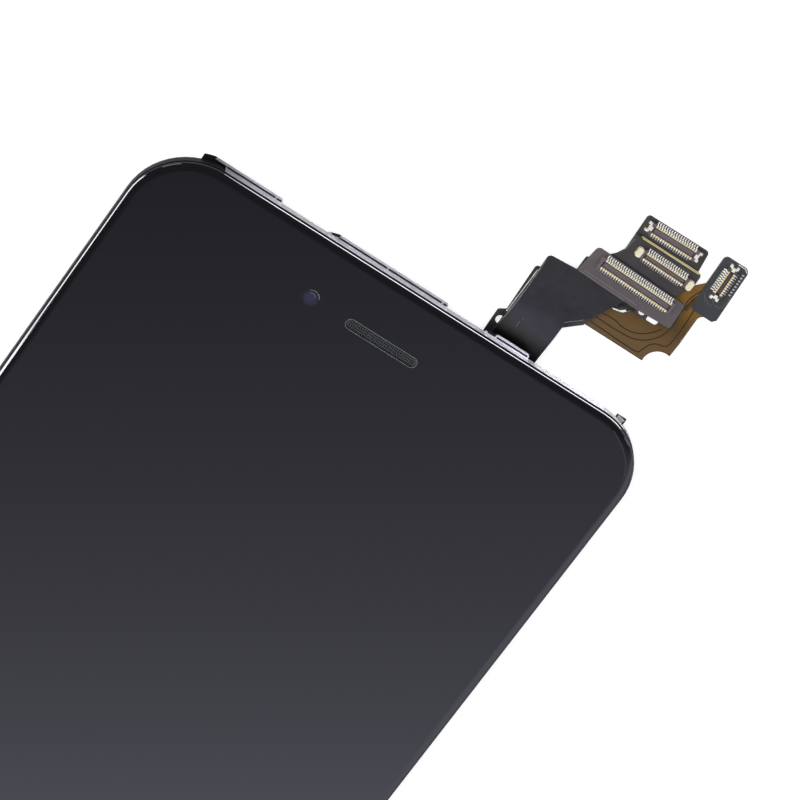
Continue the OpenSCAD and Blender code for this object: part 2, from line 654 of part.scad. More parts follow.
lcd_plug_w = 1.6;
module lcd_plug() from_top(23.1, 15.9, lcd_out + flex_t) rotate(-1.2) children();
module lcd_connector() color("#5b5159") lcd_plug() connector_body(lcd_pins, lcd_plug_w);
module lcd_contacts() color("#e9dcb4") lcd_plug() contact_rows(lcd_pins, lcd_plug_w);

// Touch circuit: bonded foot on the glass, riser past the display stack, strip and connector end
foot_x = 22.5;
foot_w = 6;
foot_y = 1.1 - end_margin;
touch_end = [[20.85, 7.35, 0.5], [22.4, 11.75, 0.4], [23.45, 11.6, 0.4], [24.5, 12.5, 0.4], [27, 12.45, 0.1],
    [27, 14, 0], [28.35, 17.2, 0.5], [29.45, 20, 0.8], [29.4, 21.55, 0.4], [19.15, 21.55, 0.1],
    [19.15, 18.6, 0.5], [17.9, 17.2, 0.7], [16.5, 16.8, 0.4], [16.3, 15.5, 0.1], [15.68, 15.45, 0.25],
    [15.68, 13.1, 0.2]];
touch_strip = [[foot_x + foot_w / 2, foot_y, 0], [foot_x + foot_w / 2, foot_y + 1.9, 0.5],
    [20.5, -9, 1.2], [18.5, -6.5, 0.8], [18.5, 5.2, 1]];
touch_left = [[11.58, 10.9, 0.6], [11.6, -9, 0.5], [foot_x - foot_w / 2, foot_y, 0]];
touch_line = [[foot_y, touch_in], [bend_start, touch_in], [bend_end, touch_out], [22, touch_out]];

module touch_flex() color("#33333b") from_top() {
    difference() {
        bent(touch_line, flex_t) polygon(rounded(concat(touch_strip, touch_end, touch_left)));
        translate([26.05, 13.12, -1]) cylinder(r = 0.48, h = 5);
    }
    translate([foot_x - foot_w / 2, foot_y - flex_t, touch_in]) cube([foot_w, flex_t, z_glass - touch_in]);
    translate([foot_x - foot_w / 2, foot_y - 1.3, z_glass - flex_t]) cube([foot_w, 1.3, flex_t]);
}

module touch_stiffener() color("#c9a94f") from_top(z = touch_out - stiff_t) linear_extrude(stiff_t)
    polygon(rounded([[20, 17.8, 0.3], [28.3, 17.8, 0.3], [29.3, 20, 0.6], [29.42, 21.65, 0.4], [20, 21.65, 0.1]]));

touch_plug_w = 1.35;
module touch_plug() from_top(24.85, 19.75, touch_out + flex_t) rotate(-1) children();
module touch_connector() color("#46414b") touch_plug() connector_body(touch_pins, touch_plug_w);
module touch_contacts() color("#e9dcb4") touch_plug() contact_rows(touch_pins, touch_plug_w);
module touch_end_caps() color("#e2d9bd") touch_plug() end_caps(touch_pins, 0.8);

// Camera and sensor circuit: branches under the top bracket, strip with a holed ear, connector end
sensor_end = [[20.7, 7.3, 0.3], [22, 11.9, 0.5], [26.8, 14.2, 0.5], [28.87, 21.4, 0.3],
    [28.43, 24.65, 0.5], [18.98, 24.52, 0.45], [19.25, 19, 0], [17.6, 15.8, 0.5], [16.2, 12.6, 0.5],
    [12.5, 10.8, 0.3], [11.15, 10.75, 0.45], [11.5, 3.55, 0.3], [10.55, 2.95, 0.35], [10.7, -0.6, 0.3],
    [11.4, -1.2, 0.3]];
sensor_line = [[bend_start, sensor_in], [bend_end, sensor_out], [26, sensor_out]];

module sensor_inner() {
    polygon(rounded([[-12.5, -13.6, 0.4], [18.5, -13.6, 0.8], [18.5, bend_start, 0], [11.4, bend_start, 0],
        [11.4, -11.6, 0.5], [8, -11.6, 0.3], [8, -4.2, 0.3], [8.2, -1.7, 0.4], [-2.6, -1.7, 0.4],
        [-2.6, -4.3, 0.4], [6.7, -4.3, 0.3], [6.7, -11.6, 0.3], [-12.5, -11.6, 0.4]]));
}

module sensor_flex() color("#2b2b31") from_top() difference() {
    union() {
        translate([0, 0, sensor_in]) linear_extrude(flex_t) sensor_inner();
        bent(sensor_line, flex_t) polygon(rounded(concat(
            [[11.4, bend_start, 0], [18.5, bend_start, 0], [18.5, 5.3, 1]], sensor_end)));
    }
    translate([11.64, 1.83, -1]) cylinder(r = 0.6, h = 5);
}

module sensor_stiffener() color("#3c3940") from_top(z = sensor_out - stiff_t) linear_extrude(stiff_t)
    polygon(rounded([[28.7, 21, 0.3], [28.2, 24.6, 0.4], [19.05, 24.5, 0.4], [19.3, 21, 0.2]]));

sensor_plug_w = 1.6;
module sensor_plug() from_top(23.75, 23.3, sensor_out + flex_t) rotate(0.8) children();
module sensor_connector() color("#4b454d") sensor_plug() connector_body(sensor_pins, sensor_plug_w);
module sensor_contacts() color("#e9dcb4") sensor_plug() contact_rows(sensor_pins, sensor_plug_w);
module sensor_end_caps() color("#d9d4c4") sensor_plug() end_clips(sensor_pins, sensor_plug_w);

// Home button circuit: from the switch up the back of the shield and out to its own connector
from_foot = -panel_h;
home_line = [[from_foot + 6, home_flex_low], [from_foot + 11.6, home_flex_low],
    [from_foot + 15.8, under_depth - flex_t], [-27.5, under_depth - flex_t], [-23.5, home_in],
    [bend_start, home_in], [bend_end, home_out], [reach, home_out]];
band_right = panel_w / 2 - 5.35;
band_left = band_right - 4;
notch = [32.25, 7.75];
notch_r = 2.14;

home_tip = [[34.35, 16.85, 0.2], [34.8, 17.35, 0.1], [34.3, reach, 0.7], [30.5, reach, 0.6], [30.7, 20.9, 0.1]];

module home_plan() polygon(rounded(concat(
    [[-tongue_w / 2, from_foot + 6.5, 0.6], [tongue_w / 2, from_foot + 6.5, 0.6],
        [tongue_w / 2, from_foot + 16.4, 1], [band_right, from_foot + 16.4, 2],
        [band_right, -19.4, 2], [17.6, -19.4, 1], [17.6, 7.4, 1.2], [32.7, 7.35, 0],
        [32.8, 12, 0], [32.6, 16.95, 0.9]],
    home_tip,
    [[28.6, 18.6, 2], [28.4, 14, 0.4], [28.75, 13.9, 0], [28.75, 12.33, 0.35],
        [27.25, 12.28, 0.3], [27.2, 12.42, 0], [25, 12.35, 0.4], [24.2, 11.4, 0.4],
        [22.9, 11.1, 0.3], [22.4, 11.5, 0.3], [20.5, 11.5, 0.5], [12.4, 9, 1.5], [12.4, -22.6, 2], [band_left, -22.6, 1],
        [band_left, from_foot + 19.8, 1], [-tongue_w / 2, from_foot + 19.8, 1]])));

module home_end() polygon(rounded(concat(home_tip, [[30.85, 18.5, 0], [31, 16.9, 0.5]])));

module home_flex() color("#8a6a2c") from_top() difference() {
    bent(home_line, flex_t) home_plan();
    translate([notch.x, notch.y, -1]) cylinder(r = notch_r, h = 3);
}

pad_t = 0.1;
module home_pad() color("#4a4d55") from_top(z = home_out + flex_t) linear_extrude(pad_t) home_end();

module home_stiffener() color("#55585f") from_top() linear_extrude(stiff_t) home_end();

home_plug_w = 1.3;
module home_plug() from_top(32.5, 22.3, home_out + flex_t + pad_t) rotate(93) children();
module home_connector() color("#46454c") home_plug() connector_body(home_pins, home_plug_w);
module home_contacts() color("#e9dcb4") home_plug() {
    contact_rows(home_pins, home_plug_w);
    for (i = [0:home_pins - 3])
        translate([(i - home_pins / 2) * pitch * 1.3 + 1, -home_plug_w / 2 - tail_len - 0.62, 0])
            cube([pitch * 0.6, 0.3, 0.03]);
}
module home_end_clips() color("#d9d4c4") home_plug() end_clips(home_pins, home_plug_w);

cover_glass();
optical_adhesive();
lcd_cell();
light_guide();
backlight_tray();
shield_plate();
shield_screws();
bezel_frame();
top_hook_strip();
side_clips();
bottom_screw_tabs();
earpiece_mesh();
earpiece_gasket();
ear_speaker();
front_camera();
camera_lens();
camera_ring();
sensor_holder();
light_sensor();
microphone();
top_bracket();
top_bracket_screws();
lcd_flex();
lcd_flex_film();
lcd_foil();
lcd_stiffener();
lcd_connector();
lcd_contacts();
touch_flex();
touch_stiffener();
touch_connector();
touch_contacts();
touch_end_caps();
sensor_flex();
sensor_stiffener();
sensor_connector();
sensor_contacts();
sensor_end_caps();
home_flex();
home_pad();
home_stiffener();
home_connector();
home_contacts();
home_end_clips();
home_button();
home_ring();
home_gasket();
home_switch();
home_bracket();
home_bracket_screws();
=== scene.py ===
"""Looks of a phone's display assembly that lies glass up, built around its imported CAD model."""

from __future__ import annotations

import json
import logging
import math
from dataclasses import dataclass, field
from enum import Enum

import bmesh
import bpy
from mathutils import Matrix, Vector
from mathutils.bvhtree import BVHTree

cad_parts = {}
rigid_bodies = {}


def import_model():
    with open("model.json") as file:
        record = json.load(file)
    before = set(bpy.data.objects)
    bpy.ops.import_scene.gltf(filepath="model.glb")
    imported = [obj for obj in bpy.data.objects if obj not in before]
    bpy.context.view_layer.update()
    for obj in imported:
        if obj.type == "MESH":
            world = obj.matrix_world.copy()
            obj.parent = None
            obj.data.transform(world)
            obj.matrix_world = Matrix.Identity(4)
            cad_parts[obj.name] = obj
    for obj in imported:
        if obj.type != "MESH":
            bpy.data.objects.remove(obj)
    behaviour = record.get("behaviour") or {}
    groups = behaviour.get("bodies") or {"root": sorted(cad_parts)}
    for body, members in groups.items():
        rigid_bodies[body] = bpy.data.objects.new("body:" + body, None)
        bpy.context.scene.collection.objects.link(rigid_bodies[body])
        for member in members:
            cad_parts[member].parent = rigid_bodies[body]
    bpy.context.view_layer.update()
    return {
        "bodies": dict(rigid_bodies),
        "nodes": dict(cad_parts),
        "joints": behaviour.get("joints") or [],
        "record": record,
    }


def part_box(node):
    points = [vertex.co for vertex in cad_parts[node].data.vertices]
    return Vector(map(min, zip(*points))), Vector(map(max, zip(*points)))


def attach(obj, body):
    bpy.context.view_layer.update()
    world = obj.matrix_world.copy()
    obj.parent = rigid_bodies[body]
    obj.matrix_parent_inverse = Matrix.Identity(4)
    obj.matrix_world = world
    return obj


LOG = logging.getLogger("display_assembly")
MM = 0.001
PANEL = "panel"
Point = tuple[float, float]
Colour = tuple[float, float, float, float]


class Axis(Enum):
    """Direction in which a finish was rolled, brushed or etched."""

    X = 0
    Y = 1


def linear(code: str) -> Colour:
    """Turns an sRGB hex colour into linear values.

    Args:
        code: six hex digits with a leading #.

    Returns:
        Red, green, blue and alpha, linear.
    """
    parts = [int(code[i : i + 2], 16) / 255 for i in (1, 3, 5)]
    values = [v / 12.92 if v <= 0.04045 else ((v + 0.055) / 1.055) ** 2.4 for v in parts]
    return (values[0], values[1], values[2], 1.0)


def add(tree: bpy.types.NodeTree, kind: str, inputs: dict | None = None, **settings: object) -> bpy.types.Node:
    """Adds a node, sets its properties, and sets or links its inputs.

    Args:
        tree: the material's or world's node tree.
        kind: the node's type.
        inputs: input name or number to a value, or to the output that feeds it.
        settings: the node's own properties.

    Returns:
        The new node.
    """
    made = tree.nodes.new(kind)
    for key, value in settings.items():
        setattr(made, key, value)
    for key, value in (inputs or {}).items():
        if isinstance(value, bpy.types.NodeSocket):
            tree.links.new(value, made.inputs[key])
        else:
            made.inputs[key].default_value = value
    return made


@dataclass(frozen=True)
class Finish:
    """A surface: what it is made of and how it was made.

    Attributes:
        name: the material's common name and process.
        colour: sRGB hex colour.
        roughness: micro roughness of the shader.
        metallic: 1 for bare metal.
        ior: refractive index of a non-metal.
    """

    name: str
    colour: str
    roughness: float = 0.5
    metallic: float = 0.0
    ior: float = 1.5

    def material(self) -> bpy.types.Material:
        """Returns the material, made once and kept."""
        found = bpy.data.materials.get(self.name)
        if found:
            return found
        made = bpy.data.materials.new(self.name)
        made.use_nodes = True
        tree = made.node_tree
        tree.nodes.clear()
        shader = add(
            tree,
            "ShaderNodeBsdfPrincipled",
            {"Base Color": linear(self.colour), "Roughness": self.roughness, "Metallic": self.metallic},
        )
        if not self.metallic:
            shader.inputs["IOR"].default_value = self.ior
        add(tree, "ShaderNodeOutputMaterial", {"Surface": shader.outputs["BSDF"]})
        place = add(tree, "ShaderNodeTexCoord").outputs["Object"]
        self.dress(tree, shader, place)
        made.diffuse_color = linear(self.colour)
        return made

    def dress(self, tree: bpy.types.NodeTree, shader: bpy.types.Node, place: bpy.types.NodeSocket) -> None:
        """Adds the finish's own detail; a plain finish has a faint mottle."""
        self.mottle(tree, shader, place, 2.0, 0.06)

    def noise(
        self,
        tree: bpy.types.NodeTree,
        place: bpy.types.NodeSocket,
        size_mm: float,
        detail: float = 3.0,
        stretch: tuple[float, float, float] = (1.0, 1.0, 1.0),
    ) -> bpy.types.NodeSocket:
        """Returns a noise value whose features are about size_mm across."""
        mapped = add(tree, "ShaderNodeMapping", {"Vector": place, "Scale": stretch}).outputs["Vector"]
        scale = 1.0 / (size_mm * MM)
        return add(tree, "ShaderNodeTexNoise", {"Vector": mapped, "Scale": scale, "Detail": detail}).outputs["Fac"]

    def spread(
        self, tree: bpy.types.NodeTree, value: bpy.types.NodeSocket, low: float, high: float
    ) -> bpy.types.NodeSocket:
        """Maps a noise value's middle range to low and high."""
        ranged = add(
            tree,
            "ShaderNodeMapRange",
            {"Value": value, "From Min": 0.3, "From Max": 0.7, "To Min": low, "To Max": high},
        )
        return ranged.outputs["Result"]

    def mottle(
        self,
        tree: bpy.types.NodeTree,
        shader: bpy.types.Node,
        place: bpy.types.NodeSocket,
        size_mm: float,
        depth: float,
    ) -> None:
        """Varies the colour's brightness by depth, up and down, over patches of size_mm."""
        value = self.spread(tree, self.noise(tree, place, size_mm), 1 - depth, 1 + depth)
        mixed = add(tree, "ShaderNodeVectorMath", {0: linear(self.colour)[:3], "Scale": value}, operation="SCALE")
        tree.links.new(mixed.outputs["Vector"], shader.inputs["Base Color"])
        rough = self.spread(tree, self.noise(tree, place, size_mm * 0.6), self.roughness - 0.04, self.roughness + 0.04)
        tree.links.new(rough, shader.inputs["Roughness"])

    def bump(
        self, tree: bpy.types.NodeTree, shader: bpy.types.Node, height: bpy.types.NodeSocket, depth_mm: float
    ) -> None:
        """Raises the surface by depth_mm where height is 1."""
        made = add(tree, "ShaderNodeBump", {"Height": height, "Distance": depth_mm * MM, "Strength": 1.0})
        tree.links.new(made.outputs["Normal"], shader.inputs["Normal"])


@dataclass(frozen=True)
class PolishedGlass(Finish):
    """Ground and polished cover glass, printed black behind: deep black with a clean cool reflection."""

    tint: str = "#e9e9ff"
    smudge: float = 0.012
    speck_mm: float = 7.0

    def dress(self, tree: bpy.types.NodeTree, shader: bpy.types.Node, place: bpy.types.NodeSocket) -> None:
        """Adds a faint wipe haze and a few specks of dust."""
        shader.inputs["Specular Tint"].default_value = linear(self.tint)
        haze = self.spread(tree, self.noise(tree, place, 9.0, 4.0), self.roughness, self.roughness + self.smudge)
        tree.links.new(haze, shader.inputs["Roughness"])
        cells = add(
            tree, "ShaderNodeTexVoronoi", {"Vector": place, "Scale": 1 / (self.speck_mm * MM), "Randomness": 1.0}
        )
        dust = add(tree, "ShaderNodeMath", {0: cells.outputs["Distance"], 1: 0.011}, operation="LESS_THAN")
        mixed = add(
            tree,
            "ShaderNodeMix",
            {0: dust.outputs[0], 6: linear(self.colour), 7: linear("#3c3d42")},
            data_type="RGBA",
        )
        tree.links.new(mixed.outputs[2], shader.inputs["Base Color"])


@dataclass(frozen=True)
class MouldedPlastic(Finish):
    """Injection moulded plastic: a fine spark-eroded grain that breaks up the sheen."""

    grain_mm: float = 0.12
    grain_depth_mm: float = 0.004

    def dress(self, tree: bpy.types.NodeTree, shader: bpy.types.Node, place: bpy.types.NodeSocket) -> None:
        """Adds the mould's grain and a soft mottle."""
        self.mottle(tree, shader, place, 3.0, 0.1)
        self.bump(tree, shader, self.noise(tree, place, self.grain_mm, 2.0), self.grain_depth_mm)


@dataclass(frozen=True)
class RolledSteel(Finish):
    """Rolled and stamped sheet steel: short lines along the rolling direction and a satin gleam."""

    along: Axis = Axis.X
    line_mm: float = 0.05
    line_depth_mm: float = 0.0015

    def dress(self, tree: bpy.types.NodeTree, shader: bpy.types.Node, place: bpy.types.NodeSocket) -> None:
        """Adds rolling lines to roughness, colour and relief."""
        stretch = (0.04, 1.0, 1.0) if self.along is Axis.X else (1.0, 0.04, 1.0)
        lines = self.noise(tree, place, self.line_mm, 4.0, stretch)
        rough = self.spread(tree, lines, self.roughness - 0.08, self.roughness + 0.08)
        tree.links.new(rough, shader.inputs["Roughness"])
        tone = self.spread(tree, self.noise(tree, place, 4.0, 3.0, stretch), 0.9, 1.06)
        mixed = add(tree, "ShaderNodeVectorMath", {0: linear(self.colour)[:3], "Scale": tone}, operation="SCALE")
        tree.links.new(mixed.outputs["Vector"], shader.inputs["Base Color"])
        self.bump(tree, shader, lines, self.line_depth_mm)


@dataclass(frozen=True)
class SteelWithPaintedLight(RolledSteel):
    """Rolled steel with painted light: painted highlights on its stamped lips, and painted gradients that darken some
    lengths of the strip and brighten others.

    Attributes:
        bands: start and end of each length with a painted highlight, in mm.
        lift: how much brighter that painted highlight makes them.
        painted_light_tapers: start, end, brightness at the start and brightness at the end of each painted light
            gradient.
    """

    bands: tuple[tuple[float, float], ...] = ()
    lift: float = 1.7
    painted_light_tapers: tuple[tuple[float, float, float, float], ...] = ()

    def dress(self, tree: bpy.types.NodeTree, shader: bpy.types.Node, place: bpy.types.NodeSocket) -> None:
        """Adds the rolling lines, then paints highlights on the bands and painted light gradients along the strip."""
        super().dress(tree, shader, place)
        x = add(tree, "ShaderNodeSeparateXYZ", {"Vector": place}).outputs["X"]
        gain: bpy.types.NodeSocket | float = 1.0
        for start, end in self.bands:
            inside = add(
                tree, "ShaderNodeMath", {0: x, 1: (start + end) / 2 * MM, 2: (end - start) / 2 * MM},
                operation="COMPARE",
            )
            gain = add(
                tree, "ShaderNodeMath", {0: inside.outputs[0], 1: self.lift - 1, 2: gain},
                operation="MULTIPLY_ADD",
            ).outputs[0]
        for start, end, low, high in self.painted_light_tapers:
            taper = add(
                tree, "ShaderNodeMapRange",
                {"Value": x, "From Min": start * MM, "From Max": end * MM, "To Min": low, "To Max": high},
            )
            gain = add(
                tree, "ShaderNodeMath", {0: gain, 1: taper.outputs["Result"]}, operation="MULTIPLY"
            ).outputs[0]
        before = shader.inputs["Base Color"].links[0].from_socket
        mixed = add(tree, "ShaderNodeVectorMath", {0: before, "Scale": gain}, operation="SCALE")
        tree.links.new(mixed.outputs["Vector"], shader.inputs["Base Color"])


@dataclass(frozen=True)
class Coverlay(Finish):
    """Polyimide coverlay over etched copper: a satin film on which the tracks stand out as soft ridges."""

    along: Axis = Axis.Y
    track_mm: float = 0.34
    relief_mm: float = 0.006
    copper: str = "#6b4a2c"
    show: float = 0.12
    wrinkle_mm: float = 2.4
    wrinkle_depth_mm: float = 0.02
    sheen: float = 0.0

    def dress(self, tree: bpy.types.NodeTree, shader: bpy.types.Node, place: bpy.types.NodeSocket) -> None:
        """Adds tracks that run along the circuit, with a slow wander, and shallow wrinkles."""
        parts = add(tree, "ShaderNodeSeparateXYZ", {"Vector": place})
        across = parts.outputs["X"] if self.along is Axis.Y else parts.outputs["Y"]
        wander = add(
            tree, "ShaderNodeMath", {0: self.noise(tree, place, 5.0, 1.0), 1: 0.7 * MM, 2: across},
            operation="MULTIPLY_ADD",
        )
        phase = add(
            tree, "ShaderNodeMath", {0: wander.outputs[0], 1: 2 * math.pi / (self.track_mm * MM)},
            operation="MULTIPLY",
        )
        wave = add(tree, "ShaderNodeMath", {0: phase.outputs[0]}, operation="SINE")
        ridge = add(
            tree,
            "ShaderNodeMapRange",
            {"Value": wave.outputs[0], "From Min": -0.2, "From Max": 0.4, "To Min": 0.0, "To Max": 1.0},
        ).outputs["Result"]
        patches = self.spread(tree, self.noise(tree, place, 3.5, 2.0), 0.2, 1.0)
        seen = add(tree, "ShaderNodeMath", {0: ridge, 1: patches}, operation="MULTIPLY").outputs[0]
        amount = add(tree, "ShaderNodeMath", {0: seen, 1: self.show}, operation="MULTIPLY").outputs[0]
        tone = add(
            tree,
            "ShaderNodeMix",
            {0: amount, 6: linear(self.colour), 7: linear(self.copper)},
            data_type="RGBA",
        )
        tree.links.new(tone.outputs[2], shader.inputs["Base Color"])
        rough = self.spread(tree, self.noise(tree, place, 1.2), self.roughness - 0.05, self.roughness + 0.06)
        tree.links.new(rough, shader.inputs["Roughness"])
        shader.inputs["Coat Weight"].default_value = self.sheen
        shader.inputs["Coat Roughness"].default_value = 0.25
        wrinkles = self.noise(tree, place, self.wrinkle_mm, 2.0)
        deep = add(tree, "ShaderNodeMath", {0: wrinkles, 1: self.wrinkle_depth_mm}, operation="MULTIPLY")
        height = add(
            tree, "ShaderNodeMath", {0: seen, 1: self.relief_mm, 2: deep.outputs[0]}, operation="MULTIPLY_ADD"
        )
        self.bump(tree, shader, height.outputs[0], 1.0)


@dataclass(frozen=True)
class Ring:
    """A round mark in the panel's plan, in mm from the middle of the top edge."""

    x: float
    y: float
    radius: float
    width: float = 0.12


@dataclass(frozen=True)
class FilmScaledAlongLength(Coverlay):
    """Film whose colour is scaled along its length by stops; on the ribbon these paint shade where it comes out of the
    frame and a painted sheen where it turns level.
    """

    top_mm: float = 0.0
    stops: tuple[tuple[float, float, float, float], ...] = ((0.0, 1.0, 1.0, 1.0), (1.0, 1.0, 1.0, 1.0))
    rings: tuple[Ring, ...] = ()
    ring_mm: float = 0.012

    def dress(self, tree: bpy.types.NodeTree, shader: bpy.types.Node, place: bpy.types.NodeSocket) -> None:
        """Adds the film's own detail, scales its colour along its length by the stops, which are painted shade and
        sheen on the ribbon, and presses faint rings into it.
        """
        super().dress(tree, shader, place)
        y = add(tree, "ShaderNodeSeparateXYZ", {"Vector": place}).outputs["Y"]
        low, high = self.stops[0][0], self.stops[-1][0]
        along = add(
            tree,
            "ShaderNodeMapRange",
            {"Value": y, "From Min": (self.top_mm + low) * MM, "From Max": (self.top_mm + high) * MM},
        ).outputs["Result"]
        ramp = add(tree, "ShaderNodeValToRGB", {"Fac": along})
        ramp.color_ramp.interpolation = "B_SPLINE"
        points = ramp.color_ramp.elements
        while len(points) < len(self.stops):
            points.new(0.5)
        for point, (at, red, green, blue) in zip(points, self.stops):
            point.position = (at - low) / (high - low)
            point.color = (red / 2, green / 2, blue / 2, 1.0)
        # Multiplies the colour by the stops; on the ribbon film this is painted shade and a painted sheen.
        before = shader.inputs["Base Color"].links[0].from_socket
        doubled = add(tree, "ShaderNodeVectorMath", {0: ramp.outputs["Color"], "Scale": 2.0}, operation="SCALE")
        shaded = add(
            tree, "ShaderNodeVectorMath", {0: before, 1: doubled.outputs["Vector"]}, operation="MULTIPLY"
        )
        tree.links.new(shaded.outputs["Vector"], shader.inputs["Base Color"])
        for ring in self.rings:
            self.press(tree, shader, place, ring)

    def press(
        self, tree: bpy.types.NodeTree, shader: bpy.types.Node, place: bpy.types.NodeSocket, ring: Ring
    ) -> None:
        """Presses one ring into the film, on top of the relief that it has."""
        flat = add(tree, "ShaderNodeVectorMath", {0: place, 1: (1.0, 1.0, 0.0)}, operation="MULTIPLY")
        centre = (ring.x * MM, (self.top_mm + ring.y) * MM, 0.0)
        far = add(tree, "ShaderNodeVectorMath", {0: flat.outputs["Vector"], 1: centre}, operation="DISTANCE")
        off = add(
            tree, "ShaderNodeMath", {0: far.outputs["Value"], 1: ring.radius * MM}, operation="SUBTRACT"
        )
        size = add(tree, "ShaderNodeMath", {0: off.outputs[0]}, operation="ABSOLUTE")
        height = add(
            tree,
            "ShaderNodeMapRange",
            {"Value": size.outputs[0], "From Max": ring.width * MM, "To Min": 1.0, "To Max": 0.0},
            interpolation_type="SMOOTHSTEP",
        ).outputs["Result"]
        before = shader.inputs["Normal"].links[0].from_socket
        made = add(
            tree, "ShaderNodeBump", {"Height": height, "Distance": self.ring_mm * MM, "Normal": before}
        )
        tree.links.new(made.outputs["Normal"], shader.inputs["Normal"])


@dataclass(frozen=True)
class PlatedContact(Finish):
    """Stamped copper alloy contacts: pale gold flash on top, bright tin where the tail is soldered, painted shade on
    the far tails and on the sides between contacts.
    """

    tin: str = "#f4f2ee"
    centre: Point = (0.0, 0.0)
    turn: float = 0.0
    half_mm: float = 0.9
    painted_tail_shade: str = "#2b2522"
    test_pad: str = "#b9babd"
    reach_mm: float = 3.0

    def dress(self, tree: bpy.types.NodeTree, shader: bpy.types.Node, place: bpy.types.NodeSocket) -> None:
        """Lays gold, tin and painted shade by the distance from the centre line; the far tails and the sides that face
        along the row get the painted shade.
        """
        moved = add(
            tree,
            "ShaderNodeVectorMath",
            {0: place, 1: (self.centre[0], self.centre[1], 0.0)},
            operation="SUBTRACT",
        )
        normal = (-math.sin(math.radians(self.turn)), math.cos(math.radians(self.turn)), 0.0)
        off = add(tree, "ShaderNodeVectorMath", {0: moved.outputs["Vector"], 1: normal}, operation="DOT_PRODUCT")
        spread = add(
            tree,
            "ShaderNodeMath",
            {0: off.outputs["Value"], 1: 1 / (2 * self.reach_mm * MM), 2: 0.5},
            operation="MULTIPLY_ADD",
        )
        bands = add(tree, "ShaderNodeValToRGB", {"Fac": spread.outputs[0]})
        ramp = bands.color_ramp
        ramp.interpolation = "CONSTANT"
        wall = self.half_mm
        ramp.elements[0].color = linear(self.test_pad)
        ramp.elements[1].position = 1.0
        ramp.elements[1].color = linear(self.tin)
        # Beyond the far wall the tails are painted dark as shade.
        for across, colour in (
            (-wall - 0.74, self.painted_tail_shade), (-wall - 0.19, self.tin), (-wall, self.colour), (wall, self.tin),
        ):
            ramp.elements.new(across / (2 * self.reach_mm) + 0.5).color = linear(colour)
        # Sides that face along the row are painted dark as shade between the contacts.
        row = (normal[1], -normal[0], 0.0)
        facing = add(tree, "ShaderNodeNewGeometry").outputs["True Normal"]
        side = add(tree, "ShaderNodeVectorMath", {0: facing, 1: row}, operation="DOT_PRODUCT")
        turned_away = add(tree, "ShaderNodeMath", {0: side.outputs["Value"]}, operation="ABSOLUTE")
        cut = add(tree, "ShaderNodeMath", {0: turned_away.outputs[0], 1: 0.6}, operation="GREATER_THAN")
        painted_tail_shade = add(
            tree,
            "ShaderNodeMix",
            {0: cut.outputs[0], 6: bands.outputs["Color"], 7: linear(self.painted_tail_shade)},
            data_type="RGBA",
        )
        tree.links.new(painted_tail_shade.outputs[2], shader.inputs["Base Color"])
        rough = self.spread(tree, self.noise(tree, place, 0.2), self.roughness - 0.08, self.roughness + 0.1)
        tree.links.new(rough, shader.inputs["Roughness"])


@dataclass(frozen=True)
class OpenFoam(Finish):
    """Cut foam or rubber: matt, with open cells in its skin."""

    cell_mm: float = 0.15

    def dress(self, tree: bpy.types.NodeTree, shader: bpy.types.Node, place: bpy.types.NodeSocket) -> None:
        """Adds cells and a soft mottle."""
        self.mottle(tree, shader, place, 1.5, 0.12)
        cells = add(tree, "ShaderNodeTexVoronoi", {"Vector": place, "Scale": 1 / (self.cell_mm * MM)})
        self.bump(tree, shader, cells.outputs["Distance"], 0.03)


GLASS = PolishedGlass("aluminosilicate_glass_polished_black_print", "#0a0b0d", 0.02)
CLEAR_BOND = Finish("optical_adhesive_cured", "#c4ccd2", 0.1, ior=1.47)
POLARISER = PolishedGlass("polariser_film_laminated", "#16171a", 0.12)
GUIDE = MouldedPlastic("acrylic_light_guide_moulded", "#e6eaec", 0.25)
BEZEL = MouldedPlastic("glass_filled_nylon_moulded_black", "#0c0c0f", 0.5, ior=1.18)
# Black strips laid over the hook slots as painted shade.
SLOT_SHADE = MouldedPlastic("black_strip_painted_slot_shade", "#08080a", 0.6, ior=1.3)
# The hook strip's steel carries painted light: its lips are brightened as painted highlights, its left end darkened as
# painted shade and its right part brightened as a painted highlight.
HOOK_STEEL = SteelWithPaintedLight(
    "stainless_steel_stamped_satin_painted_light", "#96959e", 0.5, 1.0, line_depth_mm=0.0003,
    bands=((-32.6, -20.9), (-13.7, 4.6), (10.5, 17.2)), painted_light_tapers=((-31.5, -24.0, 0.45, 1.0), (7.0, 26.0, 1.0, 2.2)),
)
# The corner strip's end is a near-white non-metal as a painted highlight of the bright steel band; its tip is a darker
# grey where that highlight fades.
STRIP_END_PAINTED_HIGHLIGHT = Finish("stainless_steel_strip_end_painted_highlight", "#f0f0f5", 0.4)
STRIP_TIP = Finish("stainless_steel_strip_tip_satin", "#85858d", 0.5)
# A grey line on the glass where its edge starts to curve, as a painted reflection.
GLASS_CURVE_PAINTED_REFLECTION = PolishedGlass("cover_glass_painted_curve_reflection", "#36363b", 0.03)
CAP_STEEL = Finish("stainless_steel_clip_burnished", "#b4b4bc", 0.5)
CLIP_STEEL = RolledSteel("stainless_steel_clip_bent", "#8f8e97", 0.5, 1.0)
PLATE_STEEL = RolledSteel("stainless_steel_sheet_rolled", "#a2a5aa", 0.36, 1.0, along=Axis.Y)
TRAY_STEEL = RolledSteel("stainless_steel_tray_pressed", "#b4b7bb", 0.32, 1.0)
SCREW_STEEL = RolledSteel("screw_steel_turned", "#8c8f94", 0.3, 1.0, line_mm=0.03)
MESH_STEEL = RolledSteel("stainless_steel_mesh_woven", "#3b3c41", 0.5, 1.0, line_mm=0.04)
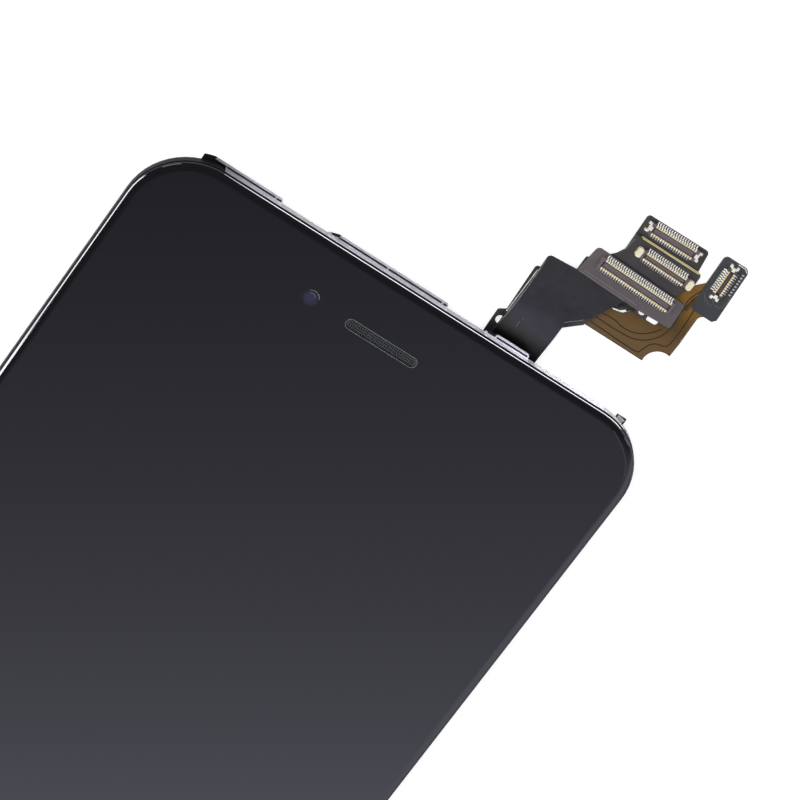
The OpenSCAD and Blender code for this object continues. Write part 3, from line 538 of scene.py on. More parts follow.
# The earpiece rim's light grey matte colour is a painted highlight.
RIM_PAINTED_HIGHLIGHT = Finish("stainless_steel_rim_painted_highlight", "#7a7b80", 0.6, ior=1.3)
FOAM = OpenFoam("polyurethane_foam_cut", "#26272b", 0.85)
RUBBER = OpenFoam("silicone_rubber_moulded", "#1c1d20", 0.6, cell_mm=0.05)
MODULE = MouldedPlastic("liquid_crystal_polymer_moulded", "#37383d", 0.5)
SENSOR_CAN = RolledSteel("sensor_package_plated", "#b59f63", 0.3, 1.0)
TOP_MM = 65.8
# The ribbon's stops are painted shade near the frame and a painted sheen about 4.6 mm beyond the top edge.
RIBBON_FILM = FilmScaledAlongLength(
    "polyimide_shield_film_black_painted_shade", "#24242d", 0.36, ior=1.37, track_mm=0.9, relief_mm=0.004, show=0.03, wrinkle_mm=3.5,
    top_mm=TOP_MM,
    stops=(
        (-1.0, 0.06, 0.06, 0.06), (1.8, 0.08, 0.08, 0.08), (3.3, 1.0, 1.0, 1.05), (4.6, 1.8, 1.8, 1.95),
        (6.6, 0.9, 0.9, 1.0), (13.0, 0.6, 0.62, 0.68),
    ),
    rings=(Ring(15.2, 6.9, 2.3),), ring_mm=0.006,
)
PURPLE_FLEX = Coverlay("polyimide_coverlay_purple_brown", "#50484f", 0.42, show=0.12, along=Axis.X, relief_mm=0.004)
DARK_FLEX = Coverlay("polyimide_coverlay_charcoal", "#221e25", 0.4, show=0.08, along=Axis.X, relief_mm=0.004)
DARK_FLEX_LOW = Coverlay("polyimide_coverlay_black", "#201c23", 0.4, show=0.08, along=Axis.X, relief_mm=0.004)
# The stops darken the amber around 14 mm beyond the top edge and brighten it from about 16.5 mm on.
AMBER_FLEX = FilmScaledAlongLength(
    "polyimide_coverlay_amber", "#6f5632", 0.36, ior=1.3, copper="#75521a", show=0.3, track_mm=2.6, relief_mm=0.003,
    sheen=0.08, wrinkle_mm=3.0, top_mm=TOP_MM,
    stops=(
        (6.0, 0.8, 0.8, 0.85), (9.5, 0.95, 0.92, 0.9), (12.0, 0.8, 0.7, 0.4), (14.0, 0.35, 0.28, 0.08),
        (16.5, 1.5, 1.3, 0.4), (19.0, 1.4, 1.1, 0.3),
    ),
)
AMBER_BOARD = Finish("polyimide_stiffener_amber", "#efdf9c", 0.35)
SLATE_BOARD = FilmScaledAlongLength(
    "polyimide_stiffener_slate", "#2c2f37", 0.5, ior=1.36, show=0.03, relief_mm=0.003, top_mm=TOP_MM,
    rings=(Ring(32.9, 20.2, 1.6, 0.09), Ring(33.8, 20.1, 1.15, 0.09)), ring_mm=0.03,
)
SOCKET = MouldedPlastic("liquid_crystal_polymer_socket", "#5d525e", 0.42, grain_mm=0.06, grain_depth_mm=0.002)
DARK_SOCKET = MouldedPlastic("liquid_crystal_polymer_socket_dark", "#3a3138", 0.45, grain_mm=0.06)
IVORY = RolledSteel("phosphor_bronze_tin_plated", "#efe6c9", 0.4, 0.3)
SILVER = RolledSteel("phosphor_bronze_nickel_plated", "#eeeae2", 0.35, 0.7)
TRACE_WIDE = Finish("copper_ground_under_coverlay", "#5a3c16", 0.35, ior=1.3)
TRACE = Finish("copper_track_under_coverlay", "#26180b", 0.35, ior=1.3)
# Pale and bright lines along film and plate edges are painted highlights, and so is the gold line along the touch
# stiffener's edge.
PALE_EDGE_PAINTED_HIGHLIGHT = Finish("polyimide_film_cut_edge_painted_highlight", "#8f8c90", 0.3)
BRIGHT_EDGE_PAINTED_HIGHLIGHT = Finish("polyimide_film_cut_edge_bright", "#f7f5f2", 0.3)
SLATE_RING_LINE = Finish("polyimide_stiffener_ring_line_lighter", "#565962", 0.4)
FILM_LIGHTER_LINE = Finish("polyimide_shield_film_lighter_line", "#50525c", 0.35)
# A black finish laid as painted shade: between contact tails, along film edges, on the touch lobe and beside it.
SHADE = Finish("black_painted_shade", "#09080b", 0.7, ior=1.3)
FILLET = Finish("solder_fillets_beside_tails", "#f4f2ee", 0.35)
GOLD_EDGE_PAINTED_HIGHLIGHT = Finish("polyimide_stiffener_cut_edge_painted_highlight", "#fff2b8", 0.3)
BLACK_EDGE = Finish("polyimide_film_burnt_edge", "#17120d", 0.4)
BUTTON = PolishedGlass("sapphire_cap_polished_black_print", "#0a0b0c", 0.03)
RING = RolledSteel("stainless_steel_ring_turned", "#46474c", 0.28, 1.0, line_mm=0.03)
LENS = PolishedGlass("camera_lens_coated", "#26234a", 0.02, tint="#c7bcff")
WINDOW_LENS = PolishedGlass("camera_lens_seen_through_glass", "#35344c", 0.03, tint="#c7bcff")
WINDOW_BARREL = PolishedGlass("camera_barrel_seen_through_glass", "#25253a", 0.03)
WINDOW_PRINT = PolishedGlass("cover_glass_window_print", "#181822", 0.03)
# Light colours for the arcs painted as highlights on the window's and lens's edges.
LENS_PAINTED_GLINT = Finish("camera_lens_edge_glint", "#6d6f86", 0.3)
WINDOW_EDGE_PAINTED_HIGHLIGHT = Finish("window_edge_painted_highlight", "#85878d", 0.3)


@dataclass(frozen=True)
class Plug:
    """A board connector's place on its circuit.

    Attributes:
        x: distance right of the panel's middle, in mm.
        y: distance beyond the top edge, in mm.
        turn: its turn in degrees.
        half: half the width of its walls, in mm.
        pins: contacts in each row.
        tone: colour of its gold flash.
    """

    x: float
    y: float
    turn: float
    half: float
    pins: int = 18
    tone: str = "#ecdba6"

    def foot_lines(self, reach: float = 0.21, pitch: float = 0.35) -> list[list[Point]]:
        """Returns the two lines along which its contacts' tails are soldered."""
        c, s = math.cos(math.radians(self.turn)), math.sin(math.radians(self.turn))
        lines = []
        for side in (-1, 1):
            v = side * (self.half + reach)
            ends = [-self.pins * pitch / 2 + 0.05, self.pins * pitch / 2 - 0.05]
            lines.append([(self.x + u * c - v * s, self.y + u * s + v * c) for u in ends])
        return lines

    def contact_finish(self, name: str, top_y: float) -> PlatedContact:
        """Returns the finish of its contacts, tin outside the walls, with painted shade on the far tails."""
        return PlatedContact(
            name, self.tone, 0.35, 0.4, centre=(self.x * MM, top_y + self.y * MM), turn=self.turn,
            half_mm=self.half - 0.19,
        )


class Builder:
    """Base of the sub-assemblies: dresses CAD nodes and adds meshes that ride on the panel."""

    def __init__(self, frame: dict) -> None:
        """Keeps the frame and where the panel's top edge is."""
        self.frame = frame
        self.top_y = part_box("cover_glass")[1].y + 0.1 * MM

    def dress(self, finish: Finish, *nodes: str) -> None:
        """Gives CAD nodes one finish."""
        for name in nodes:
            mesh = self.frame["nodes"][name].data
            mesh.materials.clear()
            mesh.materials.append(finish.material())
            LOG.info("dressed %s in %s", name, finish.name)

    def piece(self, name: str, shape: bmesh.types.BMesh, finish: Finish, slot: str) -> bpy.types.Object:
        """Turns a finished shape into a piece that rides on the panel.

        Args:
            name: the piece's name.
            shape: its geometry in metres, freed here.
            finish: its material.
            slot: the record's material slot; not used.

        Returns:
            The new object.
        """
        mesh = bpy.data.meshes.new(name)
        bmesh.ops.recalc_face_normals(shape, faces=shape.faces)
        shape.to_mesh(mesh)
        shape.free()
        made = bpy.data.objects.new(name, mesh)
        bpy.context.scene.collection.objects.link(made)
        mesh.materials.append(finish.material())
        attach(made, PANEL)
        LOG.info("built %s", name)
        return made

    def drape(
        self,
        name: str,
        node: str,
        line: list[Point],
        width_mm: float,
        finish: Finish,
        slot: str,
        aside: Point = (0.0, 0.0),
    ) -> None:
        """Lays a thin line over a CAD node, following its bends.

        Args:
            name: the piece's name.
            node: the CAD node that it lies on.
            line: places in mm from the middle of the top edge.
            width_mm: the line's width.
            finish: its material.
            slot: the record's material slot.
            aside: how far in mm the line is moved sideways after its height was found.
        """
        base = self.frame["nodes"][node]
        corners = [base.matrix_world @ v.co for v in base.data.vertices]
        tree = BVHTree.FromPolygons(corners, [list(f.vertices) for f in base.data.polygons])
        down = Vector((0, 0, -1))
        hits = [tree.ray_cast(self.at(x, y, 1.0), down)[0] for x, y in line]
        move = Vector((aside[0] * MM, aside[1] * MM, 0))
        points = [hit + move for hit in hits if hit is not None]
        if len(points) < 2:
            LOG.warning("%s finds no surface of %s", name, node)
            return
        self.piece(name, track(points, width_mm * MM, 0.006 * MM), finish, slot)

    def at(self, x: float, y: float, z: float) -> Vector:
        """Returns a place given in mm from the middle of the top edge, z from the table, in metres."""
        return Vector((x * MM, self.top_y + y * MM, z))


def smooth_line(points: list[Point], steps: int = 8) -> list[Point]:
    """Runs a smooth curve through points.

    Args:
        points: places on the line.
        steps: new places for each span.

    Returns:
        The denser line.
    """
    out: list[Point] = []
    last = len(points) - 1
    for i in range(last):
        p0, p1, p2, p3 = (points[max(0, min(last, j))] for j in (i - 1, i, i + 1, i + 2))
        for k in range(steps):
            t = k / steps
            out.append(
                tuple(
                    0.5
                    * (
                        2 * b
                        + (c - a) * t
                        + (2 * a - 5 * b + 4 * c - d) * t * t
                        + (3 * b - a - 3 * c + d) * t**3
                    )
                    for a, b, c, d in zip(p0, p1, p2, p3)
                )
            )
    out.append(points[last])
    return out


def track(points: list[Vector], width: float, height: float) -> bmesh.types.BMesh:
    """Builds a flat raised track along a line.

    Args:
        points: the line on the surface.
        width: the track's width.
        height: how far it stands out.

    Returns:
        A closed strip.
    """
    rows = []
    for i, place in enumerate(points):
        ahead = points[min(i + 1, len(points) - 1)] - points[max(i - 1, 0)]
        side = Vector((-ahead.y, ahead.x, 0)).normalized() * width / 2
        lift = Vector((0, 0, height))
        rows.append([
            place + side - lift * 0.2, place + side * 0.8 + lift, place - side * 0.8 + lift, place - side - lift * 0.2
        ])
    return closed_strip(rows)


def closed_strip(rows: list[list[Vector]]) -> bmesh.types.BMesh:
    """Skins a row of four-cornered sections and closes both ends."""
    shape = bmesh.new()
    made = [[shape.verts.new(corner) for corner in row] for row in rows]
    for a, b in zip(made, made[1:]):
        for k in range(4):
            shape.faces.new((a[k], a[(k + 1) % 4], b[(k + 1) % 4], b[k]))
    shape.faces.new(made[0])
    shape.faces.new(made[-1])
    return shape


def turned(profile: list[Point], centre: Vector, segments: int = 96) -> bmesh.types.BMesh:
    """Builds a solid of revolution about Z.

    Args:
        profile: radius and height pairs, from the axis up or round a closed section.
        centre: the foot of the axis.
        segments: steps round.

    Returns:
        The closed shape.
    """
    shape = bmesh.new()
    rings = []
    for radius, height in profile:
        if radius == 0:
            rings.append([shape.verts.new(centre + Vector((0, 0, height)))])
            continue
        rings.append(
            [
                shape.verts.new(
                    centre
                    + Vector(
                        (
                            radius * math.cos(2 * math.pi * k / segments),
                            radius * math.sin(2 * math.pi * k / segments),
                            height,
                        )
                    )
                )
                for k in range(segments)
            ]
        )
    for low, high in zip(rings, rings[1:]):
        for k in range(segments):
            n = (k + 1) % segments
            corners = [low[k % len(low)], low[n % len(low)], high[n % len(high)], high[k % len(high)]]
            unique = list(dict.fromkeys(corners))
            if len(unique) > 2:
                shape.faces.new(unique)
    return shape


@dataclass
class FrontWindow(Builder):
    """Cover glass with the camera's clear window, and what lies behind the glass.

    Attributes:
        camera_x: the camera's place across, in mm.
        camera_y: its place from the top edge, in mm.
        window_r: radius of the clear window in the print, in mm.
        corner_x: place of the right corner's centre, in mm.
        corner_r: radius of the frame's corner, in mm.
        strip_top: height of the steel strip's upper edge, in mm.
        slot_y: the hook slots' place beyond the top edge, in mm.
        slot_runs: start and end of each slot between its bridges, in mm.
    """

    frame: dict
    camera_x: float = -11.0
    camera_y: float = -7.99
    window_r: float = 1.15
    corner_x: float = 29.35
    corner_r: float = 9.0
    strip_top: float = 3.75
    slot_y: float = 0.245
    slot_runs: tuple[Point, ...] = (
        (-32.0, -21.98), (-21.72, -21.1), (-13.3, -12.58), (-12.32, -4.83), (-4.57, 3.62), (3.88, 4.4),
        (10.8, 11.97), (12.23, 17.0),
    )

    def __post_init__(self) -> None:
        """Finds the panel's top edge."""
        super().__init__(self.frame)

    def build(self) -> None:
        """Dresses the stack and sets the camera's window into the print."""
        self.dress(GLASS, "cover_glass")
        self.dress(CLEAR_BOND, "optical_adhesive")
        self.dress(POLARISER, "lcd_cell")
        self.dress(GUIDE, "light_guide")
        self.dress(TRAY_STEEL, "backlight_tray")
        self.dress(PLATE_STEEL, "shield_plate")
        self.dress(SCREW_STEEL, "shield_screws")
        self.dress(BEZEL, "bezel_frame")
        self.dress(HOOK_STEEL, "top_hook_strip")
        self.dress(CLIP_STEEL, "side_clips", "bottom_screw_tabs")
        self.window()
        self.slots()
        cap = [(31.42, -0.12), (31.9, -0.16), (32.5, -0.3)]
        self.drape("corner_clip_cap", "bezel_frame", cap, 0.56, CAP_STEEL, "hook_steel")
        # The strip's end round the corner is painted near white as a highlight.
        self.corner_strip("corner_strip_end", (0.0, 23.0), (2.5, 3.2), STRIP_END_PAINTED_HIGHLIGHT)
        self.corner_strip("corner_strip_tip", (23.0, 40.0), (3.2, 3.45), STRIP_TIP)
        # A grey line painted on the glass where its edge starts to curve, as a reflection.
        curve = [(31.66, -1.37), (33.19, -2.16), (34.42, -3.04), (35.38, -3.96), (36.08, -4.94), (36.63, -6.15)]
        self.drape("glass_curve_start_painted_reflection", "cover_glass", smooth_line(curve, 4), 0.1, GLASS_CURVE_PAINTED_REFLECTION, "black_glass")

    def corner_strip(self, name: str, turn: Point, foot: Point, finish: Finish, steps: int = 12) -> None:
        """Builds the steel strip's end, which bends round the frame's right corner and grows narrow.

        Args:
            name: the piece's name.
            turn: where it starts and ends round the corner, in degrees from the top edge.
            foot: height of its lower edge at both ends, in mm.
            finish: its material.
            steps: lengths that it is built of.
        """
        rows = []
        for k in range(steps + 1):
            angle = math.radians(90 - turn[0] - (turn[1] - turn[0]) * k / steps)
            low = foot[0] + (foot[1] - foot[0]) * k / steps
            rows.append([
                self.at(
                    self.corner_x + r * math.cos(angle), r * math.sin(angle) - self.corner_r, z * MM
                )
                for r, z in (
                    (self.corner_r - 0.02, low), (self.corner_r + 0.04, low),
                    (self.corner_r + 0.04, self.strip_top), (self.corner_r - 0.02, self.strip_top),
                )
            ])
        self.piece(name, closed_strip(rows), finish, "hook_steel")

    def slots(self) -> None:
        """Builds black strips over the slots at the hook lips' roots, as painted shade in the slots."""
        for number, (start, end) in enumerate(self.slot_runs):
            line = [(start + (end - start) * k / 11, self.slot_y - 0.12) for k in range(12)]
            self.drape(
                f"hook_slot_painted_shade_{number + 1}", "top_hook_strip", line, 0.25, SLOT_SHADE, "bezel_plastic", (0.0, 0.12)
            )

    def window(self) -> None:
        """Builds the camera's window: dark surround, coated lens, and two light arcs painted as highlights on their
        edges.
        """
        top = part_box("cover_glass")[1].z
        r = self.window_r * MM
        skin = 0.004 * MM
        foot = self.at(self.camera_x, self.camera_y, top)
        ring = [(0.0, skin), (r, skin), (r, -skin), (0.0, -skin)]
        self.piece("camera_window_surround", turned(ring, foot), WINDOW_PRINT, "lens")
        deep = self.at(self.camera_x - 0.1, self.camera_y + 0.1, top)
        barrel = [(0.0, 1.5 * skin), (r * 0.82, 1.4 * skin), (r * 0.82, 0.0), (0.0, 0.0)]
        self.piece("camera_window_barrel", turned(barrel, foot), WINDOW_BARREL, "lens")
        lens = [(0.0, 2.4 * skin), (r * 0.3, 2.2 * skin), (r * 0.55, 1.9 * skin), (r * 0.55, 0.0), (0.0, 0.0)]
        self.piece("camera_window_lens", turned(lens, deep), WINDOW_LENS, "lens")
        # The two arcs are light lines painted as highlights on the window's and lens's edges.
        for name, centre, radius, width, finish in (
            ("camera_window_painted_highlight", foot, r * 0.97, 0.06, WINDOW_EDGE_PAINTED_HIGHLIGHT),
            ("camera_lens_edge_painted_glint", deep, r * 0.5, 0.07, LENS_PAINTED_GLINT),
        ):
            arc = [
                centre + Vector((radius * math.cos(math.radians(a)), radius * math.sin(math.radians(a)), 2.3 * skin))
                for a in range(22, 134, 7)
            ]
            self.piece(name, track(arc, width * MM, 0.3 * skin), finish, "lens")


@dataclass
class EarpieceZone(Builder):
    """Speaker, front camera, sensors and microphone with their bracket."""

    frame: dict
    ear_y: float = -8.17
    slot: Point = (11.0, 1.6)
    rim_mm: float = 0.09

    def __post_init__(self) -> None:
        """Finds the panel's top edge."""
        super().__init__(self.frame)

    def rim(self) -> None:
        """Builds the rim round the mesh; the rim is a real part, and its light grey is a painted highlight."""
        half, r = (self.slot[0] - self.slot[1]) / 2, self.slot[1] / 2 - 0.02 - self.rim_mm / 2
        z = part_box("earpiece_mesh")[1].z
        line = [
            self.at(side * half + r * math.cos(math.radians(a)), self.ear_y + r * math.sin(math.radians(a)), z)
            for side, first in ((1, -90), (-1, 90))
            for a in range(first, first + 181, 12)
        ]
        self.piece("earpiece_rim_painted_highlight", track([*line, line[0]], self.rim_mm * MM, 0.01 * MM), RIM_PAINTED_HIGHLIGHT, "mesh_steel")

    def build(self) -> None:
        """Dresses the modules."""
        self.rim()
        self.dress(MESH_STEEL, "earpiece_mesh")
        self.dress(FOAM, "earpiece_gasket", "camera_ring")
        self.dress(MODULE, "ear_speaker", "front_camera", "sensor_holder", "light_sensor")
        self.dress(LENS, "camera_lens")
        self.dress(SENSOR_CAN, "microphone")
        self.dress(PLATE_STEEL, "top_bracket")
        self.dress(SCREW_STEEL, "top_bracket_screws")


@dataclass
class CircuitTails(Builder):
    """The four flexible circuits with their stiffeners, connectors and printed tracks.

    Attributes:
        lcd: place of the display connector.
        touch: place of the touch connector.
        sensor: place of the camera and sensor connector.
        home: place of the home button connector.
        track_mm: width of the dark tracks on the amber circuit.
    """

    frame: dict
    lcd: Plug = Plug(23.1, 15.9, -1.2, 0.8, 30)
    touch: Plug = Plug(24.85, 19.75, -1.0, 0.675)
    sensor: Plug = Plug(23.75, 23.3, 0.8, 0.8)
    home: Plug = Plug(32.5, 22.3, 93.0, 0.65, 10)
    track_mm: float = 0.16
    amber_tracks: list[list[Point]] = field(
        default_factory=lambda: [
            [(20.6, 9.9), (22.03, 9.94), (23.77, 10.05), (25.57, 9.77), (27.35, 10.12), (28.7, 11.04), (29.75, 12.41)],
            [(20.4, 9.1), (21.66, 9.04), (25.1, 9.01), (27.87, 9.39), (29.8, 10.93), (30.56, 12.97), (30.37, 15.21),
             (30.48, 17.02), (30.67, 18.44)],
            [(20.2, 8.2), (21.91, 8.12), (28.3, 7.95), (29.2, 8.5), (29.6, 9.6), (30.3, 10.3), (31.6, 10.8),
             (31.85, 12.5), (31.73, 15.28), (31.58, 16.91)],
            [(30.24, 16.1), (30.2, 17.0), (30.21, 17.86), (30.51, 18.9), (30.91, 19.81)],
        ]
    )

    def __post_init__(self) -> None:
        """Finds the panel's top edge."""
        super().__init__(self.frame)

    def build(self) -> None:
        """Dresses the circuits and adds their tracks."""
        self.dress(PURPLE_FLEX, "lcd_flex")
        self.dress(RIBBON_FILM, "lcd_flex_film", "lcd_foil")
        self.dress(SLATE_BOARD, "lcd_stiffener", "sensor_stiffener", "home_stiffener", "home_pad")
        self.dress(DARK_FLEX, "touch_flex")
        self.dress(DARK_FLEX_LOW, "sensor_flex")
        self.dress(AMBER_BOARD, "touch_stiffener")
        self.dress(AMBER_FLEX, "home_flex")
        self.dress(SOCKET, "lcd_connector", "touch_connector", "sensor_connector")
        self.dress(DARK_SOCKET, "home_connector")
        for name in ("lcd", "touch", "sensor", "home"):
            plug: Plug = getattr(self, name)
            self.dress(plug.contact_finish(f"{name}_contact_gold_flash", self.top_y), f"{name}_contacts")
        self.dress(IVORY, "touch_end_caps")
        self.dress(SILVER, "sensor_end_caps", "home_end_clips")
        self.tracks()
        for name, board in (("lcd", "lcd_flex"), ("touch", "touch_flex"), ("sensor", "sensor_flex"),
                            ("home", "home_pad")):
            for row, line in enumerate(getattr(self, name).foot_lines()):
                # Strips along the far tails are bright tin; strips along the near tails are black, painted shade
                # between the tails.
                finish = (FILLET, SHADE)[row]
                self.drape(f"{name}_pad_gaps_{row + 1}", board, line, 0.4, finish, "flex_black")

    def tracks(self) -> None:
        """Adds the dark tracks seen through the amber film, the lines painted along the films' edges, and black strips
        of painted shade beside the touch lobe.
        """
        for number, line in enumerate(self.amber_tracks):
            self.drape(f"home_track_{number + 1}", "home_flex", smooth_line(line), self.track_mm, TRACE, "flex_amber")
        ground = smooth_line([(30.75, 16.2), (30.7, 17.3), (30.78, 18.3), (31.3, 19.3)])
        self.drape("home_ground_band", "home_flex", ground, 0.45, TRACE_WIDE, "flex_amber")
        for name, node, line, width, finish, slot in self.edges():
            self.drape(name, node, line, width, finish, slot)
        # Two black strips at the touch flex's level beside its lobe, as painted shade.
        for number, line in enumerate(([(22.34, 11.58), (23.1, 11.73)], [(24.2, 12.13), (24.73, 12.7)])):
            tip = [self.at(x, y, 0.85 * MM) for x, y in line]
            self.piece(f"touch_lobe_painted_shade_{number + 1}", track(tip, 0.3 * MM, 0.05 * MM), SHADE, "flex_black")

    def edges(self) -> list[tuple[str, str, list[Point], float, Finish, str]]:
        """Returns the lines laid along the films' edges, most of them painted highlights and painted shade: name,
        node, line, width, finish and slot.
        """
        notch = [
            (32.25 + 2.2 * math.cos(math.radians(a)), 7.75 + 2.2 * math.sin(math.radians(a)))
            for a in range(172, 88, -7)
        ]
        ribbon = [(11.78 - 0.0016 * (i - 14) ** 2 * 0.6, 2.2 + 0.37 * i) for i in range(28)]
        return [
            ("home_edge_low", "home_flex", [(20.5, 7.42), (30.0, 7.42), *notch, (32.7, 10.2)], 0.1, BLACK_EDGE,
             "flex_amber"),
            ("home_edge_right", "home_flex", [(32.72, 10.3), (32.74, 12.0), (32.6, 16.2)], 0.1, BLACK_EDGE,
             "flex_amber"),
            # Painted highlight along the ribbon's left edge.
            ("ribbon_edge_left", "lcd_flex_film", ribbon, 0.07, PALE_EDGE_PAINTED_HIGHLIGHT, "flex_black"),
            # Painted highlight on the touch flex's left edge.
            ("touch_edge_left", "touch_flex", [(11.6, 3.4), (11.6, 7.0), (11.6, 10.4)], 0.13, BRIGHT_EDGE_PAINTED_HIGHLIGHT,
             "flex_black"),
            # Black line beside the touch flex's edge: painted shade.
            ("touch_edge_shade", "touch_flex", [(11.74, 3.0), (11.74, 7.0), (11.74, 10.6)], 0.12, SHADE,
             "flex_black"),
            # Wide black line on the touch flex's lobe: painted shade.
            ("touch_lobe_shade", "touch_flex", [(22.9, 12.1), (23.4, 12.5), (24.0, 12.75), (24.7, 12.85),
             (25.2, 12.85)], 0.7, SHADE, "flex_black"),
            # A black band painted along the ribbon film's edge as shade, standing for the dark flex beneath in shadow;
            # the pale line beside it is a painted highlight.
            ("ribbon_edge_painted_shade_band", "lcd_flex_film", [(18.66, 6.14), (19.0, 6.46), (19.8, 7.12), (20.3, 7.6),
             (20.66, 8.0)], 0.42, SHADE, "flex_black"),
            ("ribbon_edge_highlight_line", "lcd_flex_film", [(18.5, 6.38), (18.88, 6.82), (19.4, 7.26), (20.04, 7.8),
             (20.43, 8.17)], 0.06, PALE_EDGE_PAINTED_HIGHLIGHT, "flex_black"),
            # A short lighter line on the ribbon film.
            ("ribbon_lighter_line", "lcd_flex_film", [(13.7, 2.5), (13.61, 3.29), (13.79, 4.06)], 0.09, FILM_LIGHTER_LINE,
             "flex_black"),
            # Lighter lines along the pressed rings' ridges on the home plate.
            ("home_plate_arc_1", "home_pad", [(31.34, 19.75), (31.5, 19.3), (31.95, 18.91), (32.5, 18.7),
             (33.04, 18.67)], 0.07, SLATE_RING_LINE, "stiffener_grey"),
            ("home_plate_arc_2", "home_pad", [(32.67, 19.54), (32.9, 19.2), (33.32, 19.01), (34.12, 18.99)],
             0.07, SLATE_RING_LINE, "stiffener_grey"),
            # Pale lines painted as highlights along the film's end, the plate's step and the touch flex's neck.
            ("ribbon_film_end", "lcd_flex", [(15.95, 13.36), (19.5, 13.27), (23.2, 13.17)], 0.07, PALE_EDGE_PAINTED_HIGHLIGHT,
             "flex_purple"),
            ("display_plate_line", "lcd_flex", [(16.6, 13.78), (20.5, 13.7), (24.9, 13.6)], 0.04, PALE_EDGE_PAINTED_HIGHLIGHT,
             "flex_purple"),
            ("touch_neck_line", "touch_flex", [(18.2, 17.75), (19.2, 18.9), (19.42, 20.9)], 0.05, PALE_EDGE_PAINTED_HIGHLIGHT,
             "flex_black"),
            # Painted highlight along the touch stiffener's edge.
            ("touch_board_edge", "touch_flex", [(20.2, 21.48), (24.6, 21.5), (29.0, 21.48)], 0.09, GOLD_EDGE_PAINTED_HIGHLIGHT,
             "flex_black"),
            # Painted highlight on the home plate's upper right edge.
            ("home_plate_edge", "home_pad", [(32.6, 25.3), (33.7, 25.28), (34.2, 24.9), (34.38, 24.2)], 0.12,
             BRIGHT_EDGE_PAINTED_HIGHLIGHT, "stiffener_grey"),
        ]


@dataclass
class HomeZone(Builder):
    """Home button with its ring, seal, switch and bracket."""

    frame: dict

    def __post_init__(self) -> None:
        """Finds the panel's top edge."""
        super().__init__(self.frame)

    def build(self) -> None:
        """Dresses the button's pieces."""
        self.dress(BUTTON, "home_button")
        self.dress(RING, "home_ring")
        self.dress(RUBBER, "home_gasket")
        self.dress(SCREW_STEEL, "home_switch", "home_bracket_screws")
        self.dress(PLATE_STEEL, "home_bracket")


